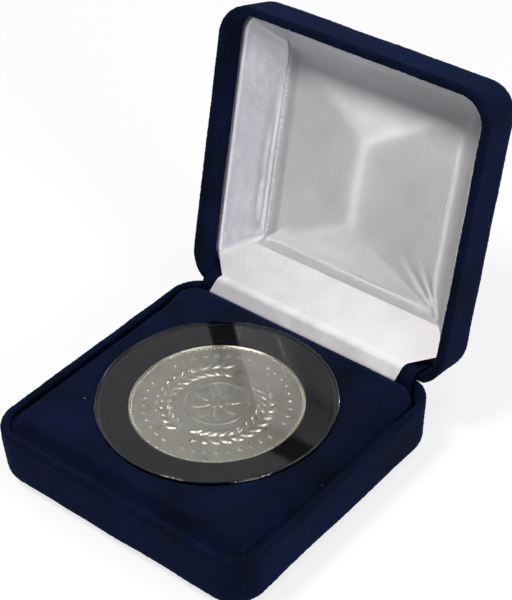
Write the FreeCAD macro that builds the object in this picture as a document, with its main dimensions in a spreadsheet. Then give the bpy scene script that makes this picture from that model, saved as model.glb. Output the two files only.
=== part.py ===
"""Coin capsule box: a velvet box that stands open, with a round coin capsule in its insert.

Millimetres. +X to the right, +Y to the hinge, +Z up. The origin is the middle of the flat underside.
Every piece of the lid is drawn with the lid closed, and its placement then opens it about the hinge axis.
"""
import FreeCAD, Part

import math
import os

import Sketcher
from FreeCAD import Placement, Rotation, Vector

doc = FreeCAD.newDocument("coin_capsule_box")
sheet = doc.addObject("Spreadsheet::Sheet", "Sizes")
nodes = []


# Driving dimensions, in millimetres and degrees
SIZES = {
    # The coin sets the capsule, and the capsule sets the box's plan
    "coin_radius": 19.05,  # coin
    "coin_thickness": 2.4,  # coin
    "coin_rim": 1.1,  # width of the coin's raised rim
    "coin_sink": 0.2,  # field of the coin below its rim
    "coin_play": 0.08,  # coin in the ring
    "coin_lift": 0.3,  # coin above the ring's underside
    "ring_width": 5.62,  # foam ring
    "ring_height": 3.2,  # foam ring
    "ring_play": 0.15,  # foam ring from the capsule's wall
    "capsule_height": 5.8,  # whole capsule
    "capsule_rise": 0.6,  # top of the capsule above the insert
    "capsule_plate": 1.2,  # floor and roof of the capsule
    "capsule_wall": 1.2,  # wall of the capsule's base
    "capsule_joint": 3.1,  # height where the two halves meet
    "spigot_height": 1.2,  # spigot of the base half inside the cap
    "spigot_step": 0.65,  # spigot in from the outside
    "spigot_play": 0.1,  # between the spigot and the cap
    "capsule_round": 0.5,  # rounded outer edges of the capsule
    # The insert round the recess
    "recess_play": 0.2,  # recess round the capsule
    "ledge_side": 6.1,  # insert from the recess to its left and right sides
    "ledge_front": 6.2,  # insert from the recess to its front side
    "ledge_rear": 3.0,  # insert from the recess to its rear side
    "insert_gap": 0.5,  # velvet of the insert from the velvet of the rim
    # The box outside
    "rim_height": 14.6,  # floor to the rim of the base
    "lid_height": 15.8,  # rim of the lid to its top
    "corner_radius": 8.0,  # corners of the plan outline
    "base_edge_round": 4.0,  # rounding of the base's lower edge
    "lid_edge_round": 7.0,  # rounding of the lid's upper edge
    "base_draft": 2.4,  # slope of the base's walls in degrees
    "lid_draft": 3.0,  # slope of the lid's walls in degrees
    "closed_gap": 0.3,  # gap between the two rims when shut
    # Shells and their velvet
    "shell_wall": 1.2,  # moulded wall of base and lid
    "floor_wall": 1.2,  # moulded floor of the base
    "roof_wall": 1.0,  # moulded roof of the lid
    "velvet": 0.4,  # velvet on the shells
    "velvet_turn_in": 6.0,  # velvet turned down inside the rim
    "rim_round": 0.85,  # rounding of the velvet over the rim
    "fit_play": 0.02,  # play between a piece and the cloth round it
    "sheet_thickness": 0.4,  # underside sheet
    "sheet_margin": 1.2,  # edge of the underside sheet inside the rounded lower edge
    "hem_cover": 3.8,  # velvet's hem in from the edge of the underside sheet
    # Hinge
    "open_angle": 103.0,  # how far the lid stands open, in degrees
    "hinge_rise": 0.6,  # hinge axis above the base rim
    "hinge_inset": 1.35,  # hinge axis in from the rear face
    "bevel_play": 4.0,  # angle left between the two rear bevels when open
    "hinge_length": 40.0,  # length of both leaves
    "knuckle_radius": 1.0,  # outside of the rolled knuckles
    "knuckle_gap": 0.2,  # gap between two knuckles
    "knuckle_relief": 0.15,  # room round the knuckles in the walls
    "pin_radius": 0.6,  # hinge pin
    "pin_play": 0.05,  # running clearance of the pin
    "pin_overhang": 0.3,  # pin past the last knuckle
    "leaf_stand": 0.47,  # face of a leaf from the velvet at the rim
    "leaf_thickness": 0.4,  # steel of the leaves
    "leaf_play": 0.2,  # end of a leaf from the lining card
    "leaf_gap": 0.15,  # half the gap between the shut leaves
    "web_height": 0.4,  # steel between leaf and knuckle
    "rivet_spacing": 26.0,  # between the two rivets of a leaf
    "knuckle_middle": 8.0,  # length of the lid leaf's middle knuckle
    "knuckle_outer": 5.8,  # length of the lid leaf's outer knuckles
    "rivet_drop": 3.6,  # rivets from the hinge axis, along the leaf
    "rivet_radius": 0.6,  # rivet shank
    "rivet_head_radius": 1.2,  # rivet head
    "rivet_head": 0.3,  # height of a rivet head
    "rivet_grip": 0.63,  # rivet shank in the wall
    "rivet_play": 0.05,  # clearance of the rivet holes
    "spring_width": 5.0,  # snap spring
    "spring_thickness": 0.22,  # snap spring
    "spring_foot": 5.4,  # lower end of the spring below the hinge axis
    "spring_bend": 2.2,  # bend of the spring below the hinge axis
    "spring_tip": 0.3,  # tip of the spring below the hinge axis
    "spring_play": 0.1,  # tip of the spring from the knuckle
    # Cloth over the hinge
    "strip_play": 0.05,  # velvet hinge strip from the rivet heads
    "strip_thickness": 0.3,  # velvet hinge strip
    "strip_margin": 5.4,  # ends of the strip, in from the outline
    "strip_drop": 4.6,  # strip below the axis, inside the base
    "strip_run": 5.7,  # strip along the lid's rear wall
    "apron_play": 0.05,  # between the strip and the satin apron
    "apron_thickness": 0.2,  # satin apron
    "apron_margin": 8.9,  # ends of the apron, in from the outline
    "apron_room": 0.13,  # apron from the insert
    "apron_drop": 4.0,  # apron below the axis, behind the insert
    "apron_clear": 0.08,  # top of the apron from the satin of the rear wall
    "apron_fold": 0.6,  # fold of the apron on the lid, from the axis
    "apron_flare": 3.1,  # ends of the apron on the lid, in from the outline
    "apron_slant": 1.15,  # thicknesses of the sloping apron, measured level
    # Insert of the base
    "insert_rise": 1.5,  # top of the insert above the rim
    "insert_skirt": 4.6,  # height of the insert's velvet side
    "insert_velvet": 0.5,  # velvet on the insert
    "insert_roll": 2.9,  # rounding of the insert's upper edge
    "insert_board": 1.1,  # board in the insert
    "insert_lip": 1.8,  # velvet turned in under the board
    "insert_lip_rear": 0.9,  # the same at the rear, where the recess is near
    "recess_roll": 1.2,  # rounding of the recess's upper edge
    "recess_pad": 0.7,  # pad under the capsule
    "support_play": 0.2,  # support block from the turned-in velvet
    "stack_play": 0.05,  # between pieces that lie on each other
    # Lining of the lid
    "liner_play": 0.1,  # lower edge of the lining card above the velvet
    "liner_fit": 0.03,  # lower edge of the lining card from the lid's wall
    "liner_top_inset": 9.4,  # upper edge of the lining card, in from the outline
    "liner_card": 0.5,  # lining card, measured level
    "liner_satin": 0.25,  # satin on the lining card, measured level
    "liner_corner": 1.5,  # corners at the lining's upper edge
    "ceiling_card": 0.45,  # card of the ceiling pad
    "ceiling_lap": 0.4,  # ceiling card over the lining's upper edge
    "pillow_edge": 0.45,  # height of the pillow at its edges
    "pillow_rise": 2.55,  # ridge of the pillow above its edges
    "pillow_satin": 0.2,  # satin of the pillow
    "pillow_round": 20.0,  # rounding of the pillow's ridge and hips
    "pillow_play": 0.1,  # pillow from the lining
    "hip_front": 13.83,  # front end of the ridge from the pillow's edge
    "hip_rear": 11.83,  # rear end of the ridge from the pillow's edge
    # How far the cutting shapes run past what they cut
    "cut_margin": 3.0,  # past a side or an end
    "groove_side": 0.2,  # past the wall of the recess
    "groove_top": 0.5,  # above the insert
    "notch_margin": 0.1,  # past the two faces of a hinge leaf
}
for row, (alias, value) in enumerate(SIZES.items(), 1):
    sheet.set(f"A{row}", alias.replace("_", " "))
    sheet.set(f"B{row}", str(value))
    sheet.setAlias(f"B{row}", alias)
doc.recompute()


def number(expression):
    """What an expression of the sheet comes to now."""
    return float(sheet.evalExpression(expression))


# Lengths and places that several pieces share, as expressions of the sheet
COVER = "Sizes.velvet + Sizes.fit_play"
INNER = "Sizes.velvet + Sizes.shell_wall"
RIM_WIDTH = "(Sizes.shell_wall + 2 * Sizes.velvet)"
CAPSULE_RADIUS = ("(Sizes.coin_radius + Sizes.coin_play + Sizes.ring_width + Sizes.ring_play"
                  " + Sizes.capsule_wall)")
RECESS_RADIUS = f"({CAPSULE_RADIUS} + Sizes.recess_play)"
INSERT_SIDE = f"({RIM_WIDTH} + Sizes.insert_gap)"
LEAF_FACE = f"({RIM_WIDTH} - Sizes.hinge_inset + Sizes.leaf_stand)"
LEAF_BACK = f"({LEAF_FACE} + Sizes.leaf_thickness)"
STRIP_NEAR = f"({LEAF_BACK} + Sizes.rivet_head + Sizes.strip_play)"
APRON_NEAR = f"({STRIP_NEAR} + Sizes.strip_thickness + Sizes.apron_play)"
INSERT_REAR = f"({APRON_NEAR} + Sizes.apron_thickness + Sizes.apron_room + Sizes.hinge_inset)"
HALF_X = f"({INSERT_SIDE} + Sizes.ledge_side + {RECESS_RADIUS})"
HALF_Y = (f"(({INSERT_SIDE} + Sizes.ledge_front + Sizes.ledge_rear + {INSERT_REAR}) / 2"
          f" + {RECESS_RADIUS})")
RECESS_Y = f"({HALF_Y} - {INSERT_REAR} - Sizes.ledge_rear - {RECESS_RADIUS})"
LID_RIM = "(Sizes.rim_height + Sizes.closed_gap)"
LID_TOP = f"({LID_RIM} + Sizes.lid_height)"
HINGE_Y = f"({HALF_Y} - Sizes.hinge_inset)"
HINGE_Z = "(Sizes.rim_height + Sizes.hinge_rise)"
BEVEL = "((Sizes.open_angle + Sizes.bevel_play) / 2)"
FLOOR_TOP = "(Sizes.sheet_thickness + Sizes.velvet + Sizes.floor_wall)"
SHEET_INSET = "(Sizes.base_edge_round + Sizes.sheet_margin)"
INSERT_TOP = "(Sizes.rim_height + Sizes.insert_rise)"
INSERT_BOTTOM = f"({INSERT_TOP} - Sizes.insert_skirt)"
RIVET_REACH = "(Sizes.leaf_stand + Sizes.velvet + Sizes.rivet_grip)"
LINER_START = "(Sizes.velvet_turn_in + Sizes.liner_play)"
LINER_Z = f"({LID_RIM} + {LINER_START})"
LINER_LOW = f"({INNER} + {LINER_START} * tan(Sizes.lid_draft) + Sizes.liner_fit)"
LINER_LAYERS = "(Sizes.liner_card + Sizes.fit_play + Sizes.liner_satin)"
CEILING = f"({LID_TOP} - Sizes.velvet - Sizes.roof_wall - Sizes.stack_play)"
PILLOW_BASE = f"({CEILING} - Sizes.ceiling_card - Sizes.stack_play)"
HEM_CORNER = "Sizes.corner_radius / 4"
SHEET_CORNER = "Sizes.corner_radius / 2"
LIP_CORNER = "Sizes.corner_radius / 3"

lid_open = Placement(
    Vector(),
    Rotation(Vector(1, 0, 0), -number("Sizes.open_angle")),
    Vector(0, number(HINGE_Y), number(HINGE_Z)),
)


def new_body(label):
    body = doc.addObject("PartDesign::Body", label)
    body.Label = label
    return body


def origin_feature(body, role):
    return next(f for f in body.Origin.OriginFeatures if f.Role == role)


def new_sketch(body, name, role="XY_Plane", offset="0"):
    """A sketch on one of the body's own origin planes, moved along that plane's normal."""
    sketch = body.newObject("Sketcher::SketchObject", name)
    sketch.AttachmentSupport = (origin_feature(body, role), [""])
    sketch.MapMode = "FlatFace"
    if offset != "0":
        sketch.setExpression(".AttachmentOffset.Base.z", offset)
    return sketch


def bind(sketch, constraint, expression, name):
    """Add one constraint and tie its value to the sheet."""
    index = sketch.addConstraint(constraint)
    sketch.renameConstraint(index, name)
    sketch.setExpression(f"Constraints.{name}", expression)


def rounded_rectangle(sketch, half_x, back, front, radius):
    """A rectangle with round corners: half_x each side, back and front measured from the origin."""
    x, b, f, r = (number(e) for e in (half_x, back, front, radius))
    first = sketch.GeometryCount

    def line(x0, y0, x1, y1):
        return Part.LineSegment(Vector(x0, y0), Vector(x1, y1))

    def corner(cx, cy, start):
        circle = Part.Circle(Vector(cx, cy), Vector(0, 0, 1), r)
        return Part.ArcOfCircle(circle, math.radians(start), math.radians(start + 90))

    sketch.addGeometry([
        line(r - x, -f, x - r, -f), corner(x - r, r - f, -90),
        line(x, r - f, x, b - r), corner(x - r, b - r, 0),
        line(x - r, b, r - x, b), corner(r - x, b - r, 90),
        line(-x, b - r, -x, r - f), corner(r - x, r - f, 180),
    ], False)
    for i in range(8):
        sketch.addConstraint(Sketcher.Constraint("Tangent", first + i, 2, first + (i + 1) % 8, 1))
    for i in (0, 4):
        sketch.addConstraint(Sketcher.Constraint("Horizontal", first + i))
        sketch.addConstraint(Sketcher.Constraint("Vertical", first + i + 2))
    for i in (3, 5, 7):
        sketch.addConstraint(Sketcher.Constraint("Equal", first + 1, first + i))
    bind(sketch, Sketcher.Constraint("Radius", first + 1, r), radius, f"radius{first}")
    bind(sketch, Sketcher.Constraint("DistanceX", -1, 1, first + 2, 1, x), half_x, f"right{first}")
    bind(sketch, Sketcher.Constraint("DistanceX", first + 6, 1, -1, 1, x), half_x, f"left{first}")
    bind(sketch, Sketcher.Constraint("DistanceY", -1, 1, first + 4, 1, b), back, f"back{first}")
    bind(sketch, Sketcher.Constraint("DistanceY", first, 1, -1, 1, f), front, f"front{first}")


def fix_point(sketch, index, point, x, y):
    """Tie one point of a sketch to expressions of either sign."""
    for kind, axis, expression in (("DistanceX", -2, x), ("DistanceY", -1, y)):
        value = number(expression)
        name = f"{kind}{index}"
        if abs(value) < 1e-9:
            sketch.addConstraint(Sketcher.Constraint("PointOnObject", index, point, axis))
        elif value > 0:
            bind(sketch, Sketcher.Constraint(kind, -1, 1, index, point, value), expression, name)
        else:
            bind(sketch, Sketcher.Constraint(kind, index, point, -1, 1, -value), f"-({expression})", name)


def circle(sketch, radius, x="0", y="0"):
    r = number(radius)
    middle = Vector(number(x), number(y))
    index = sketch.addGeometry(Part.Circle(middle, Vector(0, 0, 1), r), False)
    bind(sketch, Sketcher.Constraint("Radius", index, r), radius, f"radius{index}")
    fix_point(sketch, index, 3, x, y)


def polygon(sketch, corners):
    """A closed outline through corners given as pairs of expressions."""
    points = [Vector(number(x), number(y)) for x, y in corners]
    first = sketch.GeometryCount
    count = len(points)
    for i in range(count):
        sketch.addGeometry(Part.LineSegment(points[i], points[(i + 1) % count]), False)
    for i in range(count):
        sketch.addConstraint(Sketcher.Constraint("Coincident", first + i, 2, first + (i + 1) % count, 1))
    for i, (x, y) in enumerate(corners):
        fix_point(sketch, first + i, 1, x, y)


def pad(body, sketch, length, taper=None, down=False, both=False):
    feature = body.newObject("PartDesign::Pad", "Pad")
    feature.Profile = sketch
    feature.setExpression("Length", length)
    if taper:
        feature.setExpression("TaperAngle", f"-({taper})")
    feature.Reversed = down
    if both:
        feature.SideType = "Symmetric"
    doc.recompute()
    return feature


def pocket(body, sketch, length, taper=None, up=False, both=False):
    before = body.Shape.Volume
    feature = body.newObject("PartDesign::Pocket", "Pocket")
    feature.Profile = sketch
    feature.setExpression("Length", length)
    if taper:
        feature.setExpression("TaperAngle", f"-({taper})")
    feature.Reversed = up
    if both:
        feature.SideType = "Symmetric"
    doc.recompute()
    if not body.Shape.Volume < before - 1e-6:
        raise RuntimeError(f"{body.Label}: {sketch.Name} cuts nothing")
    return feature


def level_edges(shape, z):
    """Names of the edges that lie flat at one height."""
    names = []
    for i, edge in enumerate(shape.Edges, 1):
        box = edge.BoundBox
        if abs(box.ZMin - z) < 1e-4 and abs(box.ZMax - z) < 1e-4:
            names.append(f"Edge{i}")
    return names


def fillet(body, names, radius):
    base = body.Tip
    feature = body.newObject("PartDesign::Fillet", "Fillet")
    feature.Base = (base, names)
    feature.setExpression("Radius", radius)
    doc.recompute()
    if "Invalid" in feature.State or not names:
        raise RuntimeError(f"{body.Label}: the edges {names} did not round")


def round_edges(body, z, radius):
    """Round every level edge at one height."""
    fillet(body, level_edges(body.Shape, number(z)), radius)


def node(thing, label, placement=None):
    """Name a finished piece, place it, and put it on the list to be written."""
    thing.Label = label
    if placement:
        thing.Placement = placement
    nodes.append(thing)
    return thing


def boolean(kind, label, **links):
    result = doc.addObject(kind, label)
    for name, value in links.items():
        setattr(result, name, value)
    doc.recompute()
    return result


def outline(inset, corner=None):
    """Expressions of the plan outline moved inwards, with corners of its own far inside."""
    return (f"{HALF_X} - ({inset})", f"{HALF_Y} - ({inset})", f"{HALF_Y} - ({inset})",
            corner or f"Sizes.corner_radius - ({inset})")


# Shells and velvet: both halves are drawn from the rim, inset by what covers them

def base_block(label, inset, drop, bottom):
    body = new_body(label)
    top = f"Sizes.rim_height - ({drop})"
    sketch = new_sketch(body, "Rim", offset=top)
    rounded_rectangle(sketch, *outline(inset))
    pad(body, sketch, f"{top} - ({bottom})", taper="Sizes.base_draft", down=True)
    round_edges(body, bottom, f"Sizes.base_edge_round - ({inset})")
    return body


def lid_block(label, inset, drop, hollow=False):
    """The lid's outside. A hollow one is opened and rounded inside before its outer edge is rounded."""
    body = new_body(label)
    rim = f"{LID_RIM} + ({drop})"
    top = f"{LID_TOP} - ({inset})"
    sketch = new_sketch(body, "Rim", offset=rim)
    rounded_rectangle(sketch, *outline(inset))
    pad(body, sketch, f"{top} - ({rim})", taper="Sizes.lid_draft")
    if hollow:
        cavity = new_sketch(body, "Cavity", offset=rim)
        rounded_rectangle(cavity, *outline(INNER))
        roof = f"{LID_TOP} - Sizes.velvet - Sizes.roof_wall"
        pocket(body, cavity, f"{roof} - ({rim})", taper="Sizes.lid_draft", up=True)
        round_edges(body, roof, f"Sizes.lid_edge_round - ({INNER})")
    round_edges(body, top, f"Sizes.lid_edge_round - ({inset})")
    return body


def rear_bevel(body, upwards, cover):
    """Slope the rear rim so that the lid can lean back. cover is what still lies over this surface."""
    sign = "+" if upwards else "-"
    far = "Sizes.hinge_inset + Sizes.cut_margin"
    y0 = f"{HINGE_Y} - ({cover}) * sin({BEVEL})"
    z0 = f"{HINGE_Z} {sign} ({cover}) * cos({BEVEL})"
    y1 = f"{HINGE_Y} + ({far})"
    z1 = f"{z0} {sign} (({far}) + ({cover}) * sin({BEVEL})) * tan({BEVEL})"
    z2 = f"{HINGE_Z} - Sizes.cut_margin" if upwards else f"{HINGE_Z} + Sizes.cut_margin"
    sketch = new_sketch(body, "Bevel", role="YZ_Plane")
    polygon(sketch, [(y0, z0), (y1, z1), (y1, z2), (y0, z2)])
    pocket(body, sketch, f"2 * ({HALF_X} + Sizes.cut_margin)", both=True)


def knuckle_room(body):
    sketch = new_sketch(body, "Knuckles", role="YZ_Plane")
    circle(sketch, "Sizes.knuckle_radius + Sizes.knuckle_relief", HINGE_Y, HINGE_Z)
    pocket(body, sketch, "Sizes.hinge_length + 2 * Sizes.pin_overhang + 2 * Sizes.knuckle_relief", both=True)


def rivet_holes(body, upwards):
    """Blind holes for the two rivets, sunk from the inside of the rear wall."""
    sign = "+" if upwards else "-"
    start = f"{HINGE_Y} - {LEAF_FACE}"
    sketch = new_sketch(body, "Rivets", role="XZ_Plane", offset=f"-({start})")
    for side in ("-", ""):
        circle(sketch, "Sizes.rivet_radius + Sizes.rivet_play", f"{side}Sizes.rivet_spacing / 2",
               f"{HINGE_Z} {sign} Sizes.rivet_drop")
    pocket(body, sketch, f"{RIVET_REACH} + Sizes.rivet_play")


def base_shell():
    body = base_block("base_shell", COVER, COVER, f"Sizes.sheet_thickness + {COVER}")
    cavity = new_sketch(body, "Cavity", offset=f"Sizes.rim_height - ({COVER})")
    rounded_rectangle(cavity, *outline(INNER))
    pocket(body, cavity, f"Sizes.rim_height - ({COVER}) - {FLOOR_TOP}", taper="Sizes.base_draft")
    round_edges(body, FLOOR_TOP, f"Sizes.base_edge_round - ({INNER})")
    rear_bevel(body, False, COVER)
    knuckle_room(body)
    rivet_holes(body, False)
    return node(body, "base_shell")


def velvet_fold(body, rim, upwards):
    """Open the velvet's inside down to the turned-in edge, and round it over the rim."""
    fold = new_sketch(body, "Fold", offset=rim)
    rounded_rectangle(fold, *outline(RIM_WIDTH))
    taper = "Sizes.lid_draft" if upwards else "Sizes.base_draft"
    pocket(body, fold, "Sizes.velvet_turn_in", taper=taper, up=upwards)
    round_edges(body, rim, "Sizes.rim_round")


def ring_tool(label, rim, upwards):
    """The band of velvet that lies on the inside of the wall, as a solid."""
    body = new_body(label)
    taper = "Sizes.lid_draft" if upwards else "Sizes.base_draft"
    outer = new_sketch(body, "Outer", offset=rim)
    rounded_rectangle(outer, *outline(f"{INNER} + Sizes.fit_play"))
    pad(body, outer, "Sizes.velvet_turn_in", taper=taper, down=not upwards)
    inner = new_sketch(body, "Inner", offset=rim)
    rounded_rectangle(inner, *outline(RIM_WIDTH))
    pocket(body, inner, "Sizes.velvet_turn_in", taper=taper, up=upwards)
    return body


def base_velvet():
    skin = base_block("base_velvet_skin", "0", "0", "Sizes.sheet_thickness")
    velvet_fold(skin, "Sizes.rim_height", False)
    hem = new_sketch(skin, "Hem", offset="Sizes.sheet_thickness")
    rounded_rectangle(hem, *outline(f"{SHEET_INSET} + Sizes.hem_cover", HEM_CORNER))
    pocket(skin, hem, "Sizes.velvet", up=True)
    rear_bevel(skin, False, "0")
    knuckle_room(skin)
    rivet_holes(skin, False)
    core = base_block("base_core", "Sizes.velvet", "Sizes.velvet", "Sizes.sheet_thickness + Sizes.velvet")
    rear_bevel(core, False, "Sizes.velvet")
    band = ring_tool("base_band", "Sizes.rim_height", False)
    filler = boolean("Part::Cut", "base_filler", Base=core, Tool=band)
    return node(boolean("Part::Cut", "base_velvet", Base=skin, Tool=filler), "base_velvet")


def underside_sheet():
    body = new_body("underside_sheet")
    sketch = new_sketch(body, "Outline")
    rounded_rectangle(sketch, *outline(SHEET_INSET, SHEET_CORNER))
    pad(body, sketch, "Sizes.sheet_thickness")
    return node(body, "underside_sheet")


def lid_shell():
    body = lid_block("lid_shell", COVER, COVER, hollow=True)
    rear_bevel(body, True, COVER)
    knuckle_room(body)
    rivet_holes(body, True)
    return node(body, "lid_shell", lid_open)


def lid_velvet():
    skin = lid_block("lid_velvet_skin", "0", "0")
    velvet_fold(skin, LID_RIM, True)
    rear_bevel(skin, True, "0")
    knuckle_room(skin)
    rivet_holes(skin, True)
    core = lid_block("lid_core", "Sizes.velvet", "Sizes.velvet")
    rear_bevel(core, True, "Sizes.velvet")
    band = ring_tool("lid_band", LID_RIM, True)
    filler = boolean("Part::Cut", "lid_filler", Base=core, Tool=band)
    return node(boolean("Part::Cut", "lid_velvet", Base=skin, Tool=filler), "lid_velvet", lid_open)


# Insert of the base: board and foam under velvet, with a round recess

def insert_outline(side, rear=None):
    """Plan of a piece of the insert, inside its velvet's outer face by side and, at the rear, by rear."""
    rear = rear or side
    return (f"{HALF_X} - {INSERT_SIDE} - ({side})", f"{HALF_Y} - {INSERT_REAR} - ({rear})",
            f"{HALF_Y} - {INSERT_SIDE} - ({side})", f"Sizes.corner_radius - {INSERT_SIDE} - ({side})")


def roll_hole(body, hole, top, roll):
    """Turn the hole's upper edge over, with a groove round the middle of the recess."""
    sketch = new_sketch(body, "Roll", role="XZ_Plane", offset=f"-{RECESS_Y}")
    x, y, r = number(f"{hole} + {roll}"), number(f"{top} - ({roll})"), number(roll)
    side, above = f"{hole} - Sizes.groove_side", f"{top} + Sizes.groove_top"
    inner, high = number(side), number(above)
    arc = Part.ArcOfCircle(Part.Circle(Vector(x, y), Vector(0, 0, 1), r), math.pi / 2, math.pi)
    sketch.addGeometry(arc, False)
    corners = [Vector(x, y + r), Vector(x, high), Vector(inner, high), Vector(inner, y), Vector(x - r, y)]
    for a, b in zip(corners, corners[1:]):
        sketch.addGeometry(Part.LineSegment(a, b), False)
    for a, i, b, j in ((0, 1, 1, 1), (1, 2, 2, 1), (2, 2, 3, 1), (3, 2, 4, 1), (4, 2, 0, 2)):
        sketch.addConstraint(Sketcher.Constraint("Coincident", a, i, b, j))
    bind(sketch, Sketcher.Constraint("Radius", 0, r), roll, "radius0")
    fix_point(sketch, 0, 3, f"{hole} + {roll}", f"{top} - ({roll})")
    sketch.addConstraint(Sketcher.Constraint("Vertical", 1))
    sketch.addConstraint(Sketcher.Constraint("Horizontal", 4))
    fix_point(sketch, 2, 1, f"{hole} + {roll}", above)
    fix_point(sketch, 3, 1, side, above)
    fix_point(sketch, 4, 1, side, f"{top} - ({roll})")
    groove = body.newObject("PartDesign::Groove", "Groove")
    groove.Profile = sketch
    groove.ReferenceAxis = (sketch, ["V_Axis"])
    groove.Angle = 360
    doc.recompute()
    return groove


def insert_slab(label, inset, z0, z1, hole, outer_roll=None, hole_roll=None):
    """A slab of the insert with its round hole, and both upper edges rolled over where radii are given."""
    body = new_body(label)
    sketch = new_sketch(body, "Plan", offset=z0)
    rounded_rectangle(sketch, *insert_outline(inset))
    pad(body, sketch, f"{z1} - ({z0})")
    if outer_roll:
        round_edges(body, z1, outer_roll)
    recess = new_sketch(body, "Hole", offset=z1)
    circle(recess, hole, y=RECESS_Y)
    pocket(body, recess, f"{z1} - ({z0})")
    if hole_roll:
        roll_hole(body, hole, z1, hole_roll)
    return body


CLOTH = "Sizes.insert_velvet"
HOLE = f"({RECESS_RADIUS} + {CLOTH})"
BOARD_Z = f"({INSERT_BOTTOM} + {CLOTH})"
FOAM_Z = f"({BOARD_Z} + Sizes.insert_board)"
FOAM_TOP = f"({INSERT_TOP} - {CLOTH})"
FOAM_ROLLS = (f"(Sizes.insert_roll - {CLOTH})", f"(Sizes.recess_roll - {CLOTH})")
CAPSULE_Z = f"({INSERT_TOP} + Sizes.capsule_rise - Sizes.capsule_height)"
PAD_Z = f"({CAPSULE_Z} - Sizes.stack_play - Sizes.recess_pad)"


def insert_support():
    body = new_body("insert_support")
    block = new_sketch(body, "Plan", offset=f"{FLOOR_TOP} + Sizes.fit_play")
    side = f"{CLOTH} + Sizes.insert_lip + Sizes.support_play"
    rear = f"{CLOTH} + Sizes.insert_lip_rear + Sizes.support_play"
    rounded_rectangle(block, *insert_outline(side, rear)[:3], LIP_CORNER)
    pad(body, block, f"{BOARD_Z} - {FLOOR_TOP} - Sizes.fit_play")
    recess = new_sketch(body, "Recess", offset=BOARD_Z)
    circle(recess, f"{HOLE} + Sizes.fit_play", y=RECESS_Y)
    pocket(body, recess, f"{BOARD_Z} - {PAD_Z} + Sizes.fit_play")
    return node(body, "insert_support")


def insert_board():
    return node(insert_slab("insert_board", CLOTH, BOARD_Z, FOAM_Z, HOLE), "insert_board")


def insert_foam():
    return node(insert_slab("insert_foam", CLOTH, FOAM_Z, FOAM_TOP, HOLE, *FOAM_ROLLS), "insert_foam")


def insert_velvet():
    skin = insert_slab("insert_skin", "0", INSERT_BOTTOM, INSERT_TOP, RECESS_RADIUS,
                       "Sizes.insert_roll", "Sizes.recess_roll")
    core = insert_slab("insert_core", CLOTH, BOARD_Z, FOAM_TOP, HOLE, *FOAM_ROLLS)
    window = new_body("insert_window")
    plan = new_sketch(window, "Plan", offset=INSERT_BOTTOM)
    side = f"{CLOTH} + Sizes.insert_lip"
    rear = f"{CLOTH} + Sizes.insert_lip_rear"
    rounded_rectangle(plan, *insert_outline(side, rear)[:3], LIP_CORNER)
    circle(plan, HOLE, y=RECESS_Y)
    pad(window, plan, CLOTH)
    hollow = boolean("Part::Cut", "insert_hollow", Base=skin, Tool=core)
    return node(boolean("Part::Cut", "insert_velvet", Base=hollow, Tool=window), "insert_velvet")


def disc(label, radius, z0, height):
    body = new_body(label)
    sketch = new_sketch(body, "Disc", offset=z0)
    circle(sketch, radius, y=RECESS_Y)
    pad(body, sketch, height)
    return body


def disc_cut(body, radius, z, depth, up=False):
    sketch = new_sketch(body, "Cut", offset=z)
    circle(sketch, radius, y=RECESS_Y)
    pocket(body, sketch, depth, up=up)


def recess_pad():
    radius = f"{RECESS_RADIUS} - 2 * Sizes.stack_play"
    return node(disc("recess_pad", radius, PAD_Z, "Sizes.recess_pad"), "recess_pad")


# Capsule: two halves pressed together, with a foam ring round the coin

CAPSULE_FLOOR = f"({CAPSULE_Z} + Sizes.capsule_plate)"
JOINT_Z = f"({CAPSULE_Z} + Sizes.capsule_joint)"
CAP_TOP = f"({CAPSULE_Z} + Sizes.capsule_height)"
SPIGOT = f"({CAPSULE_RADIUS} - Sizes.spigot_step)"
RING_Z = f"({CAPSULE_FLOOR} + Sizes.stack_play)"
COIN_Z = f"({RING_Z} + Sizes.coin_lift)"


def capsule_base():
    body = disc("capsule_base", CAPSULE_RADIUS, CAPSULE_Z, "Sizes.capsule_joint")
    round_edges(body, CAPSULE_Z, "Sizes.capsule_round")
    spigot = new_sketch(body, "Spigot", offset=JOINT_Z)
    circle(spigot, SPIGOT, y=RECESS_Y)
    pad(body, spigot, "Sizes.spigot_height")
    top = f"{JOINT_Z} + Sizes.spigot_height"
    disc_cut(body, f"{CAPSULE_RADIUS} - Sizes.capsule_wall", top, f"{top} - {CAPSULE_FLOOR}")
    return node(body, "capsule_base")


def capsule_cap():
    rim = f"{JOINT_Z} + Sizes.stack_play"
    body = disc("capsule_cap", CAPSULE_RADIUS, rim, f"{CAP_TOP} - ({rim})")
    round_edges(body, CAP_TOP, "Sizes.capsule_round")
    disc_cut(body, f"{SPIGOT} + Sizes.spigot_play", rim, f"{CAP_TOP} - Sizes.capsule_plate - ({rim})", up=True)
    return node(body, "capsule_cap")


def foam_ring():
    outer = f"{CAPSULE_RADIUS} - Sizes.capsule_wall - Sizes.ring_play"
    body = disc("foam_ring", outer, RING_Z, "Sizes.ring_height")
    disc_cut(body, "Sizes.coin_radius + Sizes.coin_play", f"{RING_Z} + Sizes.ring_height", "Sizes.ring_height")
    return node(body, "foam_ring")


def coin():
    body = disc("coin", "Sizes.coin_radius", COIN_Z, "Sizes.coin_thickness")
    field = "Sizes.coin_radius - Sizes.coin_rim"
    disc_cut(body, field, f"{COIN_Z} + Sizes.coin_thickness", "Sizes.coin_sink")
    disc_cut(body, field, COIN_Z, "Sizes.coin_sink", up=True)
    return node(body, "coin")


# Hinge: two leaves with rolled knuckles, a pin, rivets and a snap spring

def along(y, z, sign="-"):
    """A point of the hinge's cross-section: y ahead of the axis, z from it to the base or to the lid."""
    return (f"{HINGE_Y} - ({y})", f"{HINGE_Z} {sign} ({z})")


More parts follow.
